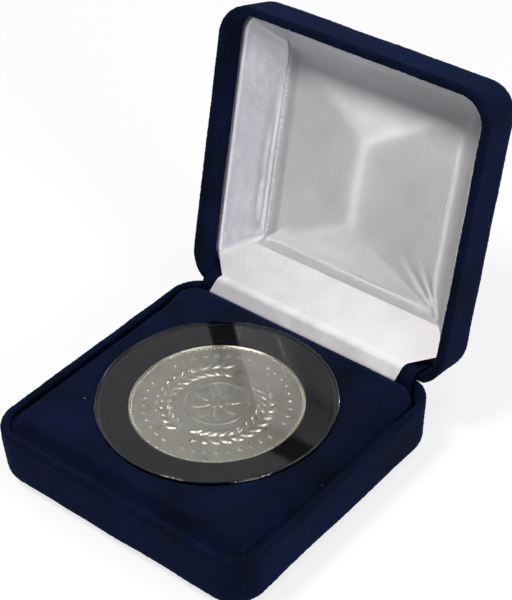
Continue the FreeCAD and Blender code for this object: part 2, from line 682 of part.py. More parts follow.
def slab_x(body, name, corners, start, length):
    """Pad an outline of the cross-section from start, along X."""
    sketch = new_sketch(body, name, role="YZ_Plane", offset=start)
    polygon(sketch, corners)
    pad(body, sketch, length)


MIDDLE = "Sizes.knuckle_middle / 2"
OUTER = "(Sizes.hinge_length / 2 - Sizes.knuckle_outer)"


def leaf(label, sign, knuckles):
    """knuckles are pairs of start and length along X."""
    body = new_body(label)
    low = "Sizes.leaf_gap"
    high = f"{LINER_START} - Sizes.hinge_rise + Sizes.closed_gap - Sizes.leaf_play"
    plate = [along(LEAF_FACE, low, sign), along(LEAF_BACK, low, sign),
             along(LEAF_BACK, high, sign), along(LEAF_FACE, high, sign)]
    slab_x(body, "Plate", plate, "-Sizes.hinge_length / 2", "Sizes.hinge_length")
    inner = "Sizes.knuckle_radius - Sizes.leaf_thickness / 2"
    web_top = "Sizes.leaf_gap + Sizes.web_height"
    web = [along(inner, low, sign), along(LEAF_BACK, low, sign),
           along(LEAF_BACK, web_top, sign), along(inner, web_top, sign)]
    for start, length in knuckles:
        slab_x(body, "Web", web, start, length)
        roll = new_sketch(body, "Knuckle", role="YZ_Plane", offset=start)
        circle(roll, "Sizes.knuckle_radius", HINGE_Y, HINGE_Z)
        pad(body, roll, length)
    bore = new_sketch(body, "Bore", role="YZ_Plane")
    circle(bore, "Sizes.pin_radius + Sizes.pin_play", HINGE_Y, HINGE_Z)
    pocket(body, bore, "Sizes.hinge_length + Sizes.cut_margin", both=True)
    holes = new_sketch(body, "Holes", role="XZ_Plane", offset=f"-({HINGE_Y} - {LEAF_FACE})")
    for side in ("-", ""):
        circle(holes, "Sizes.rivet_radius + Sizes.rivet_play", f"{side}Sizes.rivet_spacing / 2",
               f"{HINGE_Z} {sign} Sizes.rivet_drop")
    pocket(body, holes, "2 * Sizes.leaf_thickness", both=True)
    return body


def hinge_base_leaf():
    start = f"{MIDDLE} + Sizes.knuckle_gap"
    length = f"{OUTER} - Sizes.knuckle_gap - ({start})"
    end = f"{OUTER} - Sizes.knuckle_gap"
    body = leaf("hinge_base_leaf", "-", [(f"-({end})", length), (start, length)])
    notch = new_sketch(body, "Notch", role="YZ_Plane")
    depth = "Sizes.spring_bend + Sizes.fit_play"
    near, far = f"{LEAF_FACE} - Sizes.notch_margin", f"{LEAF_BACK} + Sizes.notch_margin"
    polygon(notch, [along(near, "0"), along(far, "0"), along(far, depth), along(near, depth)])
    pocket(body, notch, f"2 * ({start})", both=True)
    return node(body, "hinge_base_leaf")


def hinge_lid_leaf():
    knuckles = [("-Sizes.hinge_length / 2", "Sizes.knuckle_outer"), (f"-({MIDDLE})", "Sizes.knuckle_middle"),
                (OUTER, "Sizes.knuckle_outer")]
    return node(leaf("hinge_lid_leaf", "+", knuckles), "hinge_lid_leaf", lid_open)


def hinge_pin():
    body = new_body("hinge_pin")
    sketch = new_sketch(body, "Pin", role="YZ_Plane")
    circle(sketch, "Sizes.pin_radius", HINGE_Y, HINGE_Z)
    pad(body, sketch, "Sizes.hinge_length + 2 * Sizes.pin_overhang", both=True)
    return node(body, "hinge_pin")


def rivets(label, sign, placement=None):
    """Two rivets as separate solids of one group, heads on the inside of the leaf."""
    solids = []
    for side in ("-", ""):
        body = new_body(f"{label}_one")
        x, z = f"{side}Sizes.rivet_spacing / 2", f"{HINGE_Z} {sign} Sizes.rivet_drop"
        shank = new_sketch(body, "Shank", role="XZ_Plane", offset=f"-({HINGE_Y} - {LEAF_BACK})")
        circle(shank, "Sizes.rivet_radius", x, z)
        pad(body, shank, f"Sizes.leaf_thickness + {RIVET_REACH}", down=True)
        head = new_sketch(body, "Head", role="XZ_Plane", offset=f"-({HINGE_Y} - {LEAF_BACK})")
        circle(head, "Sizes.rivet_head_radius", x, z)
        pad(body, head, "Sizes.rivet_head")
        solids.append(body)
    return node(boolean("Part::Compound", label, Links=solids), label, placement)


def snap_spring():
    body = new_body("snap_spring")
    far = f"{LEAF_BACK} + Sizes.spring_thickness"
    tip = "Sizes.knuckle_radius + Sizes.spring_play"
    outline_points = [
        along(LEAF_BACK, "Sizes.spring_foot"), along(LEAF_BACK, "Sizes.spring_bend"),
        along(tip, "Sizes.spring_tip"), along(f"{tip} + Sizes.spring_thickness", "Sizes.spring_tip"),
        along(far, "Sizes.spring_bend"), along(far, "Sizes.spring_foot"),
    ]
    slab_x(body, "Spring", outline_points, "-Sizes.spring_width / 2", "Sizes.spring_width")
    return node(body, "snap_spring")


# Lining of the lid: sloping walls of card and satin, and a satin pillow on the ceiling

def liner_frustum(label, inset):
    """The space inside one layer of the lining, from its lower edge to the ceiling."""
    body = new_body(label)
    low = new_sketch(body, "Low", offset=LINER_Z)
    rounded_rectangle(low, *outline(f"{LINER_LOW} + ({inset})"))
    high = new_sketch(body, "High", offset=PILLOW_BASE)
    rounded_rectangle(high, *outline(f"Sizes.liner_top_inset + ({inset})", "Sizes.liner_corner"))
    loft = body.newObject("PartDesign::AdditiveLoft", "Loft")
    loft.Profile = low
    loft.Sections = [high]
    loft.Ruled = True
    doc.recompute()
    return body


def lining(label, inner, outer):
    shell = boolean("Part::Cut", label, Base=liner_frustum(f"{label}_outer", outer),
                    Tool=liner_frustum(f"{label}_inner", inner))
    return node(shell, label, lid_open)


def lid_wall_card():
    return lining("lid_wall_card", "Sizes.liner_card", "0")


def lid_wall_satin():
    start = "Sizes.liner_card + Sizes.fit_play"
    return lining("lid_wall_satin", f"{start} + Sizes.liner_satin", start)


def lid_pad_card():
    body = new_body("lid_pad_card")
    sketch = new_sketch(body, "Plan", offset=f"{PILLOW_BASE} + Sizes.stack_play")
    rounded_rectangle(sketch, *outline("Sizes.liner_top_inset - Sizes.ceiling_lap", "Sizes.liner_corner"))
    pad(body, sketch, "Sizes.ceiling_card")
    return node(body, "lid_pad_card", lid_open)


PILLOW_INSET = f"(Sizes.liner_top_inset + {LINER_LAYERS} + Sizes.pillow_play)"
PILLOW_X = f"({HALF_X} - {PILLOW_INSET})"
PILLOW_Y = f"({HALF_Y} - {PILLOW_INSET})"


def pillow(label, under):
    """A low hipped cushion that hangs from the ceiling, its surface under the satin by a given depth."""
    body = new_body(label)
    x, y = f"({PILLOW_X} - ({under}))", f"({PILLOW_Y} - ({under}))"
    base = new_sketch(body, "Plan", offset=PILLOW_BASE)
    rounded_rectangle(base, x, y, y, "Sizes.liner_corner")
    pad(body, base, f"Sizes.pillow_edge + Sizes.pillow_rise - ({under})", down=True)
    crest = f"{PILLOW_BASE} - Sizes.pillow_edge - Sizes.pillow_rise + ({under})"
    brim = f"{PILLOW_BASE} - Sizes.pillow_edge + ({under})"
    below = f"{crest} - Sizes.cut_margin"
    for side in ("-", ""):
        slope = new_sketch(body, "Slope", role="XZ_Plane")
        outside = f"{side}({x} + Sizes.cut_margin)"
        polygon(slope, [(f"{side}{x}", brim), ("0", crest), ("0", below), (outside, below), (outside, brim)])
        pocket(body, slope, f"2 * ({y} + Sizes.cut_margin)", both=True)
    for side, end in (("-", f"({PILLOW_Y} - Sizes.hip_front)"), ("", f"({PILLOW_Y} - Sizes.hip_rear)")):
        hip = new_sketch(body, "Hip", role="YZ_Plane")
        outside = f"{side}({y} + Sizes.cut_margin)"
        polygon(hip, [(f"{side}{y}", brim), (f"{side}{end}", crest), (f"{side}{end}", below),
                      (outside, below), (outside, brim)])
        pocket(body, hip, f"2 * ({x} + Sizes.cut_margin)", both=True)
    crown = [f"Edge{i}" for i, e in enumerate(body.Shape.Edges, 1) if e.BoundBox.ZMin < number(crest) + 1e-3]
    fillet(body, crown, f"Sizes.pillow_round - ({under})")
    return body


def lid_pad_wadding():
    return node(pillow("lid_pad_wadding", "Sizes.pillow_satin + Sizes.fit_play"), "lid_pad_wadding", lid_open)


def lid_pad_satin():
    cover = boolean("Part::Cut", "lid_pad_satin", Base=pillow("pillow_outside", "0"),
                    Tool=pillow("pillow_inside", "Sizes.pillow_satin"))
    return node(cover, "lid_pad_satin", lid_open)


# Cloth over the hinge: drawn in the open pose, and it bends with the lid

def hinge_cloth(label, radius, thickness, width, drop, on_lid, spread=None, trims=()):
    """Down inside the base, round the axis and along the lid, where on_lid gives its outline and spread its width."""
    outer = f"{radius} + {thickness}"
    down = new_body(f"{label}_down")
    slab_x(down, "Down", [along(radius, drop), along(outer, drop), along(outer, "0"), along(radius, "0")],
           f"-{width} / 2", width)
    up = new_body(f"{label}_up")
    slab_x(up, "Up", on_lid, f"-{spread or width} / 2", spread or width)
    for kind, tool in trims:
        up = boolean(kind, f"{label}_trimmed", Base=up, Tool=tool)
    up.Placement = lid_open
    turned = Rotation(Vector(1, 0, 0), 180 - number("Sizes.open_angle")) * Rotation(Vector(1, 1, 1), 120)
    rolls = []
    for reach in (outer, radius):
        roll = doc.addObject("Part::Cylinder", f"{label}_roll")
        roll.setExpression("Radius", reach)
        roll.setExpression("Height", width)
        roll.setExpression("Angle", "Sizes.open_angle")
        start = Vector(-number(width) / 2, number(HINGE_Y), number(HINGE_Z))
        roll.Placement = Placement(start, turned)
        rolls.append(roll)
    bend = boolean("Part::Cut", f"{label}_bend", Base=rolls[0], Tool=rolls[1])
    cloth = boolean("Part::MultiFuse", label, Shapes=[down, bend, up])
    cloth.Refine = True
    doc.recompute()
    return node(cloth, label)


def hinge_velvet():
    near, far = STRIP_NEAR, f"{STRIP_NEAR} + Sizes.strip_thickness"
    width = f"(2 * ({HALF_X} - Sizes.strip_margin))"
    on_lid = [along(near, "0", "+"), along(far, "0", "+"), along(far, "Sizes.strip_run", "+"),
              along(near, "Sizes.strip_run", "+")]
    return hinge_cloth("hinge_velvet", near, "Sizes.strip_thickness", width, "Sizes.strip_drop", on_lid)


def apron_sides(half, wide, high):
    """What the apron keeps on the lid, seen from the front: it widens from the fold and narrows up the lining."""
    body = new_body("apron_sides")
    sketch = new_sketch(body, "Sides", role="XZ_Plane")
    fold, below = f"{HINGE_Z} + Sizes.apron_fold", f"{HINGE_Z} - Sizes.cut_margin"
    polygon(sketch, [(f"-{half}", below), (half, below), (half, fold), (wide, LINER_Z), (high, PILLOW_BASE),
                     (f"-{high}", PILLOW_BASE), (f"-{wide}", LINER_Z), (f"-{half}", fold)])
    pad(body, sketch, f"2 * {HALF_X}", both=True)
    return body


def satin_apron():
    near, far = APRON_NEAR, f"({APRON_NEAR} + Sizes.apron_thickness)"
    half, wide = f"({HALF_X} - Sizes.apron_margin)", f"({HALF_X} - Sizes.apron_flare)"
    high = f"({HALF_X} - Sizes.liner_top_inset - {LINER_LAYERS} - Sizes.apron_play)"
    slope = f"((Sizes.liner_top_inset - {LINER_LOW}) / ({PILLOW_BASE} - {LINER_Z}))"
    top = f"({PILLOW_BASE} - {HINGE_Z} - Sizes.pillow_edge)"
    wall = f"({LINER_LOW} + {LINER_LAYERS} + ({top} + {HINGE_Z} - {LINER_Z}) * {slope} - Sizes.hinge_inset)"
    reach = f"({wall} + Sizes.apron_clear)"
    across = "(Sizes.apron_slant * Sizes.apron_thickness)"
    inside_fold = "Sizes.apron_fold - Sizes.apron_thickness / 4"
    on_lid = [along(near, "0", "+"), along(far, "0", "+"), along(far, inside_fold, "+"),
              along(f"{reach} + {across}", top, "+"), along(reach, top, "+"), along(near, "Sizes.apron_fold", "+")]
    walls = f"{LINER_LAYERS} + Sizes.apron_play"
    beyond_walls = "-2 * Sizes.liner_card"
    lining = boolean("Part::Cut", "apron_walls", Base=liner_frustum("apron_outside", beyond_walls),
                     Tool=liner_frustum("apron_inside", walls))
    return hinge_cloth("satin_apron", near, "Sizes.apron_thickness", f"(2 * {half})", "Sizes.apron_drop", on_lid,
                       f"(2 * {wide})", [("Part::Common", apron_sides(half, wide, high)), ("Part::Cut", lining)])


base_shell()
base_velvet()
underside_sheet()
insert_support()
insert_board()
insert_foam()
insert_velvet()
recess_pad()
capsule_base()
foam_ring()
coin()
capsule_cap()
hinge_base_leaf()
hinge_pin()
rivets("base_rivets", "-")
snap_spring()
lid_shell()
lid_velvet()
hinge_lid_leaf()
rivets("lid_rivets", "+", lid_open)
lid_wall_card()
lid_wall_satin()
lid_pad_card()
lid_pad_wadding()
lid_pad_satin()
hinge_velvet()
satin_apron()


def write_parts():
    """Check every object, then write one file for each piece."""
    doc.recompute()
    for thing in doc.Objects:
        if {"Invalid", "Error"} & set(thing.State):
            raise RuntimeError(f"{thing.Label} did not compute: {thing.State}")
    for thing in nodes:
        if thing.Shape.isNull() or not thing.Shape.isValid():
            raise RuntimeError(f"{thing.Label} is not a sound solid")
    os.makedirs("parts", exist_ok=True)
    for thing in nodes:
        thing.Shape.exportStep(f"parts/{thing.Label}.step")
        box = thing.Shape.BoundBox
        print(f"{thing.Label:20s} {len(thing.Shape.Solids)} solid, {thing.Shape.Volume:9.1f} mm3, "
              f"z {box.ZMin:.2f} to {box.ZMax:.2f}")


write_parts()
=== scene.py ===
# %% [markdown]
# # A coin capsule box
#
# A small presentation box stands open with a round coin capsule in its insert. Both halves are moulded plastic
# shells under navy velvet, held together by a sprung steel hinge. The lid is lined with white satin over card and
# has a satin pillow on its ceiling. The capsule is clear acrylic with a dark foam ring round a silver coin.
#
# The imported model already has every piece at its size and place, so the first step is to load it. All lengths here
# are written in millimetres, as they were measured, and each finished mesh is scaled to metres once, at the end.

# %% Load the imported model
import math

import bmesh
import bpy
from mathutils import Matrix, Vector, noise


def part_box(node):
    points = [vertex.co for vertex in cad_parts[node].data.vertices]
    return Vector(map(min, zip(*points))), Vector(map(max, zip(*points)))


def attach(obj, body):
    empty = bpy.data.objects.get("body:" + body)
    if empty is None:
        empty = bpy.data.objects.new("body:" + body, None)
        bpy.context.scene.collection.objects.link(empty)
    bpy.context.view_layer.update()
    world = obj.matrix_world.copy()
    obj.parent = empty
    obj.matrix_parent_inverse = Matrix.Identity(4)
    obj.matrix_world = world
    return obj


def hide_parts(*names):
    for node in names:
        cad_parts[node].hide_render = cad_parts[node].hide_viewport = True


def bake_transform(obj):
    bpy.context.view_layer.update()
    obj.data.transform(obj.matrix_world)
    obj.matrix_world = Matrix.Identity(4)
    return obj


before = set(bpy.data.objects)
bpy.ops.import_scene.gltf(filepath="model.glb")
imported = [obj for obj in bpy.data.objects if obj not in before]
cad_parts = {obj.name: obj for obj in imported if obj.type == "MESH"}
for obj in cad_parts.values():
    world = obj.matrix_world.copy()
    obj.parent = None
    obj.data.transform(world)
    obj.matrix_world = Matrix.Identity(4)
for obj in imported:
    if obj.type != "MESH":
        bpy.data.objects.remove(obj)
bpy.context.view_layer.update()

MM = 0.001

# %% [markdown]
# ## The sizes that the pieces share
#
# The box outline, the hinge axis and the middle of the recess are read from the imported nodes, so a piece made here
# sits where the solid sits. The wall, the drafts and the roundings belong to the moulded shells, and they are
# repeated because a box around a node doesn't tell them.

# %% Read and repeat the sizes
base_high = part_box("base_velvet")[1] / MM
insert_low, insert_high = (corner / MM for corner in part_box("insert_velvet"))
coin_low, coin_high = (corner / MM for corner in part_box("coin"))
ring_low, ring_high = (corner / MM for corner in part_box("foam_ring"))
pin_low, pin_high = (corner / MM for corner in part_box("hinge_pin"))
HALF_X, HALF_Y, RIM_Z = base_high.x, base_high.y, base_high.z
HINGE_Y, HINGE_Z = (pin_low.y + pin_high.y) / 2, (pin_low.z + pin_high.z) / 2
RECESS_Y = (coin_low.y + coin_high.y) / 2
CORNER = 8.0          # plan corners of both halves
BASE_DRAFT, LID_DRAFT = math.radians(2.4), math.radians(3.0)
BASE_ROUND, LID_ROUND = 4.0, 7.0
RIM_WIDTH, RIM_ROUND = 2.0, 0.85
TURN_IN = 6.0         # velvet turned down inside the rim
HEM_INSET = 9.0       # velvet's hem under the box
SHEET = 0.4           # underside sheet below the velvet
SEAM, LID_HEIGHT = 0.3, 15.8     # gap between the shut rims, and the lid above it
LID_RIM = RIM_Z + SEAM
LID_TOP = LID_RIM + LID_HEIGHT
OPEN = math.radians(103)
HINGE = Vector((0, HINGE_Y, HINGE_Z))
LID_OPEN = Matrix.Translation(HINGE) @ Matrix.Rotation(-OPEN, 4, "X") @ Matrix.Translation(-HINGE)
print("outline", round(HALF_X, 2), round(HALF_Y, 2), "hinge", round(HINGE_Y, 2), round(HINGE_Z, 2))

# %% [markdown]
# ## One way to add a node
#
# Every material below is a short list of nodes, so one function adds a node, fills in its values and links it.
# Colours are written as the hex codes that a picture editor shows, and one function turns them to linear light.

# %% Colour and node helpers
def srgb(code):
    """A hex colour as linear red, green, blue and alpha."""
    parts = [int(code[i:i + 2], 16) / 255 for i in (1, 3, 5)]
    return (*[c / 12.92 if c <= 0.04045 else ((c + 0.055) / 1.055) ** 2.4 for c in parts], 1)


def add(tree, kind, values=None, links=None, **settings):
    """Add a node, set its options and socket values, and link outputs into it."""
    made = tree.nodes.new("ShaderNode" + kind)
    for option, value in settings.items():
        setattr(made, option, value)
    for socket, value in (values or {}).items():
        made.inputs[socket].default_value = value
    for socket, output in (links or {}).items():
        tree.links.new(output, made.inputs[socket])
    return made


def new_material(name, values):
    """An empty material with one Principled shader, and the object coordinates that its patterns read."""
    made = bpy.data.materials.new(name)
    made.use_nodes = True
    tree = made.node_tree
    tree.nodes.clear()
    place = add(tree, "TexCoord").outputs["Object"]
    shader = add(tree, "BsdfPrincipled", values)
    add(tree, "OutputMaterial", links={"Surface": shader.outputs["BSDF"]})
    return made, tree, shader, place


def grain(tree, place, size, detail=2.0, roughness=0.5, stretch=(1, 1, 1)):
    """Noise whose lumps are about size millimetres wide."""
    mapped = add(tree, "Mapping", {"Scale": stretch}, {"Vector": place})
    return add(tree, "TexNoise", {"Scale": 1 / (size * MM), "Detail": detail, "Roughness": roughness},
               {"Vector": mapped.outputs["Vector"]}).outputs["Fac"]


def ramp(tree, amount, stops):
    """Turn an amount into colours at the given positions."""
    made = add(tree, "ValToRGB", links={"Fac": amount})
    elements = made.color_ramp.elements
    while len(elements) < len(stops):
        elements.new(0.5)
    for element, (position, code) in zip(elements, stops):
        element.position = position
        element.color = srgb(code)
    return made.outputs["Color"]


def bump(tree, shader, height, distance, strength=1.0, under=None):
    """Raise the surface by up to distance millimetres, on top of another bump if there is one."""
    links = {"Height": height}
    if under:
        links["Normal"] = under
    made = add(tree, "Bump", {"Strength": strength, "Distance": distance * MM}, links)
    tree.links.new(made.outputs["Normal"], shader.inputs["Normal"])
    return made.outputs["Normal"]


print("white is", [round(c, 3) for c in srgb("#ffffff")])

# %% [markdown]
# ## Navy velvet
#
# Jeweller's velvet is a short, dense pile on a thin backing. Seen straight on, light sinks between the fibres and
# it looks nearly black, and at a grazing angle the fibre tips shine, so its edges glow blue. A sheen layer over a
# dark rough base gives both. Patches of about 12 mm, where the pile leans another way, are a slow noise in the
# colour and the bump. The fibre tips are tufts of about 0.5 mm, coarser than real pile so that they show in the
# render. A few specks of lint lie on it, since such velvet is never quite clean.

# %% Velvet
LEAN, TUFT = 12, 0.5                      # millimetres
LINT_GAP, LINT_SIZE = 9, (0.028, 0.018)     # distance of the specks, and a speck's edge as a share of it


def make_velvet(name, dark, light, tips):
    """Short pile in a colour between two, with tips that shine at a grazing angle."""
    made, tree, shader, place = new_material(name, {
        "Roughness": 0.95, "Sheen Weight": 0.35, "Sheen Roughness": 0.4, "Sheen Tint": srgb(tips),
        "Specular IOR Level": 0.1})
    leaning = grain(tree, place, LEAN, 3)
    tufts = grain(tree, place, TUFT, 3, 0.7)
    mixed = add(tree, "Mix", {"Factor": 0.4}, {"A": leaning, "B": tufts}, data_type="FLOAT")
    pile = ramp(tree, mixed.outputs["Result"], [(0.37, dark), (0.63, light)])
    lint = add(tree, "TexVoronoi", {"Scale": 1 / (LINT_GAP * MM)}, {"Vector": place})
    near = add(tree, "MapRange", {"From Min": LINT_SIZE[0], "From Max": LINT_SIZE[1]},
               {"Value": lint.outputs["Distance"]})
    dusty = add(tree, "Mix", {"B": srgb("#6a7184")}, {"Factor": near.outputs["Result"], "A": pile},
                data_type="RGBA")
    tree.links.new(dusty.outputs["Result"], shader.inputs["Base Color"])
    soft = bump(tree, shader, leaning, 0.5, 0.35)
    bump(tree, shader, tufts, 0.25, 0.7, soft)
    return made


navy_velvet = make_velvet("navy_velvet_pile", "#050a15", "#081534", "#2a4690")
print("material", navy_velvet.name)

# %% [markdown]
# ## White satin
#
# The lining is acetate satin: long floats of shiny yarn lie side by side, so a highlight is narrow across them and
# wide along them. A pale, partly metallic base with full anisotropy gives that. Its direction comes from a map of
# the flat cloth, so each panel can be laid at its own angle. The floats are drawn 0.3 mm wide, coarser than real
# yarn so that they show, and noise of 0.4 mm in bump and roughness gives the glitter where satin faces the light.

# %% Satin
FLOAT, GLITTER = 0.3, 0.4     # millimetres


def make_satin(name, low, high):
    """Smooth glossy cloth whose shine is narrow across the floats and wide along them, with a little glitter."""
    made, tree, shader, place = new_material(name, {
        "Metallic": 0.45, "Roughness": 0.5, "Anisotropic": 1.0, "Sheen Weight": 0.1, "Sheen Roughness": 0.3})
    cloth = add(tree, "UVMap", uv_map="cloth").outputs["UV"]
    across = add(tree, "Tangent", direction_type="UV_MAP", uv_map="cloth")
    tree.links.new(across.outputs["Tangent"], shader.inputs["Tangent"])
    tree.links.new(ramp(tree, grain(tree, place, 6, 3), [(0.3, low), (0.7, high)]), shader.inputs["Base Color"])
    floats = grain(tree, cloth, FLOAT, 2, 0.6, (1, 0.2, 1))
    glitter = grain(tree, cloth, GLITTER, 2, 0.7)
    rough = add(tree, "MapRange", {"From Min": 0.35, "From Max": 0.65, "To Min": 0.42, "To Max": 0.54},
                {"Value": glitter})
    tree.links.new(rough.outputs["Result"], shader.inputs["Roughness"])
    ribs = bump(tree, shader, floats, 0.05, 0.5)
    bump(tree, shader, glitter, 0.09, 0.7, ribs)
    return made


white_satin = make_satin("white_satin_weave", "#e3e2e5", "#eae9ed")
print("material", white_satin.name)

# %% [markdown]
# ## Acrylic, foam, silver and the hidden materials
#
# The capsule is moulded acrylic, clear as glass with an IOR of 1.49 and faint handling marks. The ring is dark
# closed-cell foam, dull with cells of about 0.25 mm. The coin is worn silver: a metal of warm grey whose gloss
# changes where fingers have dulled it. Board, paper, plastic and steel are inside the box or under it.

# %% Acrylic
acrylic, tree, shader, place = new_material("clear_moulded_acrylic", {
    "Base Color": srgb("#f6f8f8"), "Transmission Weight": 1.0, "IOR": 1.49, "Roughness": 0.02})
marks = grain(tree, place, 0.8, 4, 0.7, (1, 0.2, 1))
rough = add(tree, "MapRange", {"From Min": 0.55, "From Max": 0.8, "To Min": 0.015, "To Max": 0.12},
            {"Value": marks})
tree.links.new(rough.outputs["Result"], shader.inputs["Roughness"])
print("material", acrylic.name)

# %% Foams and wadding
def make_foam(name, low, high, cell, depth):
    """Dull foam or fibre with cells of that many millimetres."""
    made, tree, shader, place = new_material(name, {"Roughness": 0.9, "Specular IOR Level": 0.25})
    cells = add(tree, "TexVoronoi", {"Scale": 1 / (cell * MM)}, {"Vector": place})
    tone = add(tree, "Mix", {"Factor": 0.5}, {"A": grain(tree, place, 2.5), "B": cells.outputs["Distance"]},
               data_type="FLOAT")
    tree.links.new(ramp(tree, tone.outputs["Result"], [(0.25, low), (0.75, high)]), shader.inputs["Base Color"])
    bump(tree, shader, cells.outputs["Distance"], depth, 0.6)
    return made


ring_foam = make_foam("charcoal_cell_foam", "#0f0f0f", "#191817", 0.25, 0.08)
pad_foam = make_foam("white_open_foam", "#d6d2c4", "#e6e3d8", 0.6, 0.3)
wadding = make_foam("polyester_wadding", "#e2e2e0", "#f2f2f0", 0.9, 0.4)
print("materials", ring_foam.name, pad_foam.name, wadding.name)

# %% Metals
def make_metal(name, low, high, smooth, dull, scratch):
    """Worn metal: its tone and gloss change over a few millimetres, with fine marks."""
    made, tree, shader, place = new_material(name, {"Metallic": 1.0, "Roughness": smooth})
    wear = grain(tree, place, 3.5, 4, 0.6)
    tree.links.new(ramp(tree, wear, [(0.3, low), (0.7, high)]), shader.inputs["Base Color"])
    rough = add(tree, "MapRange", {"From Min": 0.3, "From Max": 0.7, "To Min": smooth, "To Max": dull},
                {"Value": wear})
    tree.links.new(rough.outputs["Result"], shader.inputs["Roughness"])
    bump(tree, shader, grain(tree, place, 0.4, 3, 0.6), scratch, 0.4)
    return made


silver = make_metal("worn_struck_silver", "#efe7d3", "#fbf5e6", 0.25, 0.4, 0.03)
steel = make_metal("nickel_plated_steel", "#b4b4b0", "#cbcbc6", 0.18, 0.32, 0.01)
print("materials", silver.name, steel.name)

# %% Plastic, board and paper
def make_plain(name, low, high, roughness, size, depth, stretch=(1, 1, 1)):
    """A dull solid material with a grain of that many millimetres."""
    made, tree, shader, place = new_material(name, {"Roughness": roughness, "Specular IOR Level": 0.4})
    speckle = grain(tree, place, size, 3, 0.6, stretch)
    tree.links.new(ramp(tree, speckle, [(0.3, low), (0.7, high)]), shader.inputs["Base Color"])
    bump(tree, shader, speckle, depth, 0.5)
    return made


shell_plastic = make_plain("moulded_dark_styrene", "#14151b", "#1d1e26", 0.45, 0.7, 0.03)
grey_board = make_plain("grey_pulp_board", "#8c8a83", "#a3a199", 0.9, 0.5, 0.05, (1, 0.4, 1))
underside_paper = make_plain("black_leatherette_paper", "#15161c", "#20222b", 0.6, 0.6, 0.12)
print("materials", shell_plastic.name, grey_board.name, underside_paper.name)

# %% Give the rigid solids their materials
RIGID = {
    shell_plastic: ["base_shell", "lid_shell"],
    grey_board: ["insert_support", "insert_board", "lid_wall_card", "lid_pad_card"],
    underside_paper: ["underside_sheet"],
    steel: ["hinge_base_leaf", "hinge_lid_leaf", "hinge_pin", "base_rivets", "lid_rivets", "snap_spring"],
    acrylic: ["capsule_base", "capsule_cap"],
}
for finish, names in RIGID.items():
    for name in names:
        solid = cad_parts[name]
        if not solid.material_slots:
            solid.data.materials.append(finish)
        for held in solid.material_slots:
            held.material = finish
    print(finish.name, "on", ", ".join(names))

# %% [markdown]
# ## Loops and sweeps
#
# Nearly every soft piece of this box follows the same rounded rectangle at some height and inset, so it is made as
# a loop of edges that is extruded from one outline to the next. Each vertex of the first loop gets a number, the
# extrude operator copies it to the new vertices, and the number tells each one where to go. The loop could also be
# a bevelled cube, but a sweep gives even rows, and even rows take the fine unevenness of pile best.

# %% Outline and sweep helpers
def outline(half_x, back, front, corner, z, along, turn):
    """A rounded rectangle as a loop of points, with along points on each side and turn steps in each corner."""
    corner = max(corner, 1e-3)
    arcs = []
    for quarter, (x, y) in enumerate([(half_x - corner, back - corner), (corner - half_x, back - corner),
                                      (corner - half_x, corner - front), (half_x - corner, corner - front)]):
        angles = [math.radians(90 * (quarter + step / turn)) for step in range(turn + 1)]
        arcs.append([Vector((x + corner * math.cos(a), y + corner * math.sin(a), z)) for a in angles])
    loop = []
    for arc, following in zip(arcs, arcs[1:] + arcs[:1]):
        loop += arc
        loop += [arc[-1].lerp(following[0], step / along) for step in range(1, along)]
    return loop


def sweep(bm, loops):
    """Extrude the first loop through all the others."""
    seat = bm.verts.layers.int.new("seat")
    row = [bm.verts.new(point) for point in loops[0]]
    for number, vert in enumerate(row):
        vert[seat] = number
    edges = [bm.edges.new(pair) for pair in zip(row, row[1:] + row[:1])]
    for loop in loops[1:]:
        made = bmesh.ops.extrude_edge_only(bm, edges=edges)["geom"]
        verts = {v for v in made if isinstance(v, bmesh.types.BMVert)}
        for vert in verts:
            vert.co = loop[vert[seat]]
        edges = [e for e in made if isinstance(e, bmesh.types.BMEdge) and set(e.verts) <= verts]
    bm.verts.layers.int.remove(seat)


def arc(inset, z, radius, start, end, steps):
    """Points (inset, z) on an arc of a profile. Angles in degrees: 0 points outwards and 90 up."""
    angles = [math.radians(start + (end - start) * step / steps) for step in range(steps + 1)]
    return [(inset - radius * math.cos(a), z + radius * math.sin(a)) for a in angles]


def spaced(path, gap):
    """The same path with points no further apart than gap."""
    path = [Vector(point) for point in path]
    out = [path[0]]
    for a, b in zip(path, path[1:]):
        parts = max(1, math.ceil((b - a).length / gap))
        out += [a.lerp(b, k / parts) for k in range(1, parts + 1)]
    return out


def nap(bm, height, size, seed=0, verts=None):
    """Move each vertex in or out along its normal, by noise with lumps of that size in millimetres."""
    bm.normal_update()
    shift = Vector((seed, 3.7 * seed, 1.3 * seed))
    for vert in verts or bm.verts:
        vert.co += vert.normal * height * noise.noise(vert.co / size + shift)


def finish_piece(name, bm, material, body, nodes, place=None):
    """Turn a bmesh in millimetres into a named piece that rides on its body and stands for its nodes."""
    bmesh.ops.remove_doubles(bm, verts=bm.verts, dist=1e-4)
    if place:
        bmesh.ops.transform(bm, matrix=place, verts=bm.verts)
    bmesh.ops.scale(bm, vec=(MM, MM, MM), verts=bm.verts)
    mesh = bpy.data.meshes.new(name)
    bm.to_mesh(mesh)
    bm.free()
    mesh.shade_smooth()
    mesh.materials.append(material)
    piece = bpy.data.objects.new(name, mesh)
    bpy.context.scene.collection.objects.link(piece)
    if body:
        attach(piece, body)
    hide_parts(*nodes)
    print(f"{name}: {len(mesh.vertices)} vertices, {len(mesh.polygons)} faces")
    return piece


def lay_cloth(bm, flat):
    """Keep each corner's place on the flat cloth: along the second number run the floats of the weave."""
    uv = bm.loops.layers.uv.new("cloth")
    for face in bm.faces:
        for loop in face.loops:
            loop[uv].uv = Vector(flat(loop.vert.co, face.normal)) * MM


def thicken(piece, thickness):
    """Give a skin a thickness on its inner side."""
    wall = piece.modifiers.new("Wall", "SOLIDIFY")
    wall.thickness = thickness * MM
    wall.offset = -1
    return piece


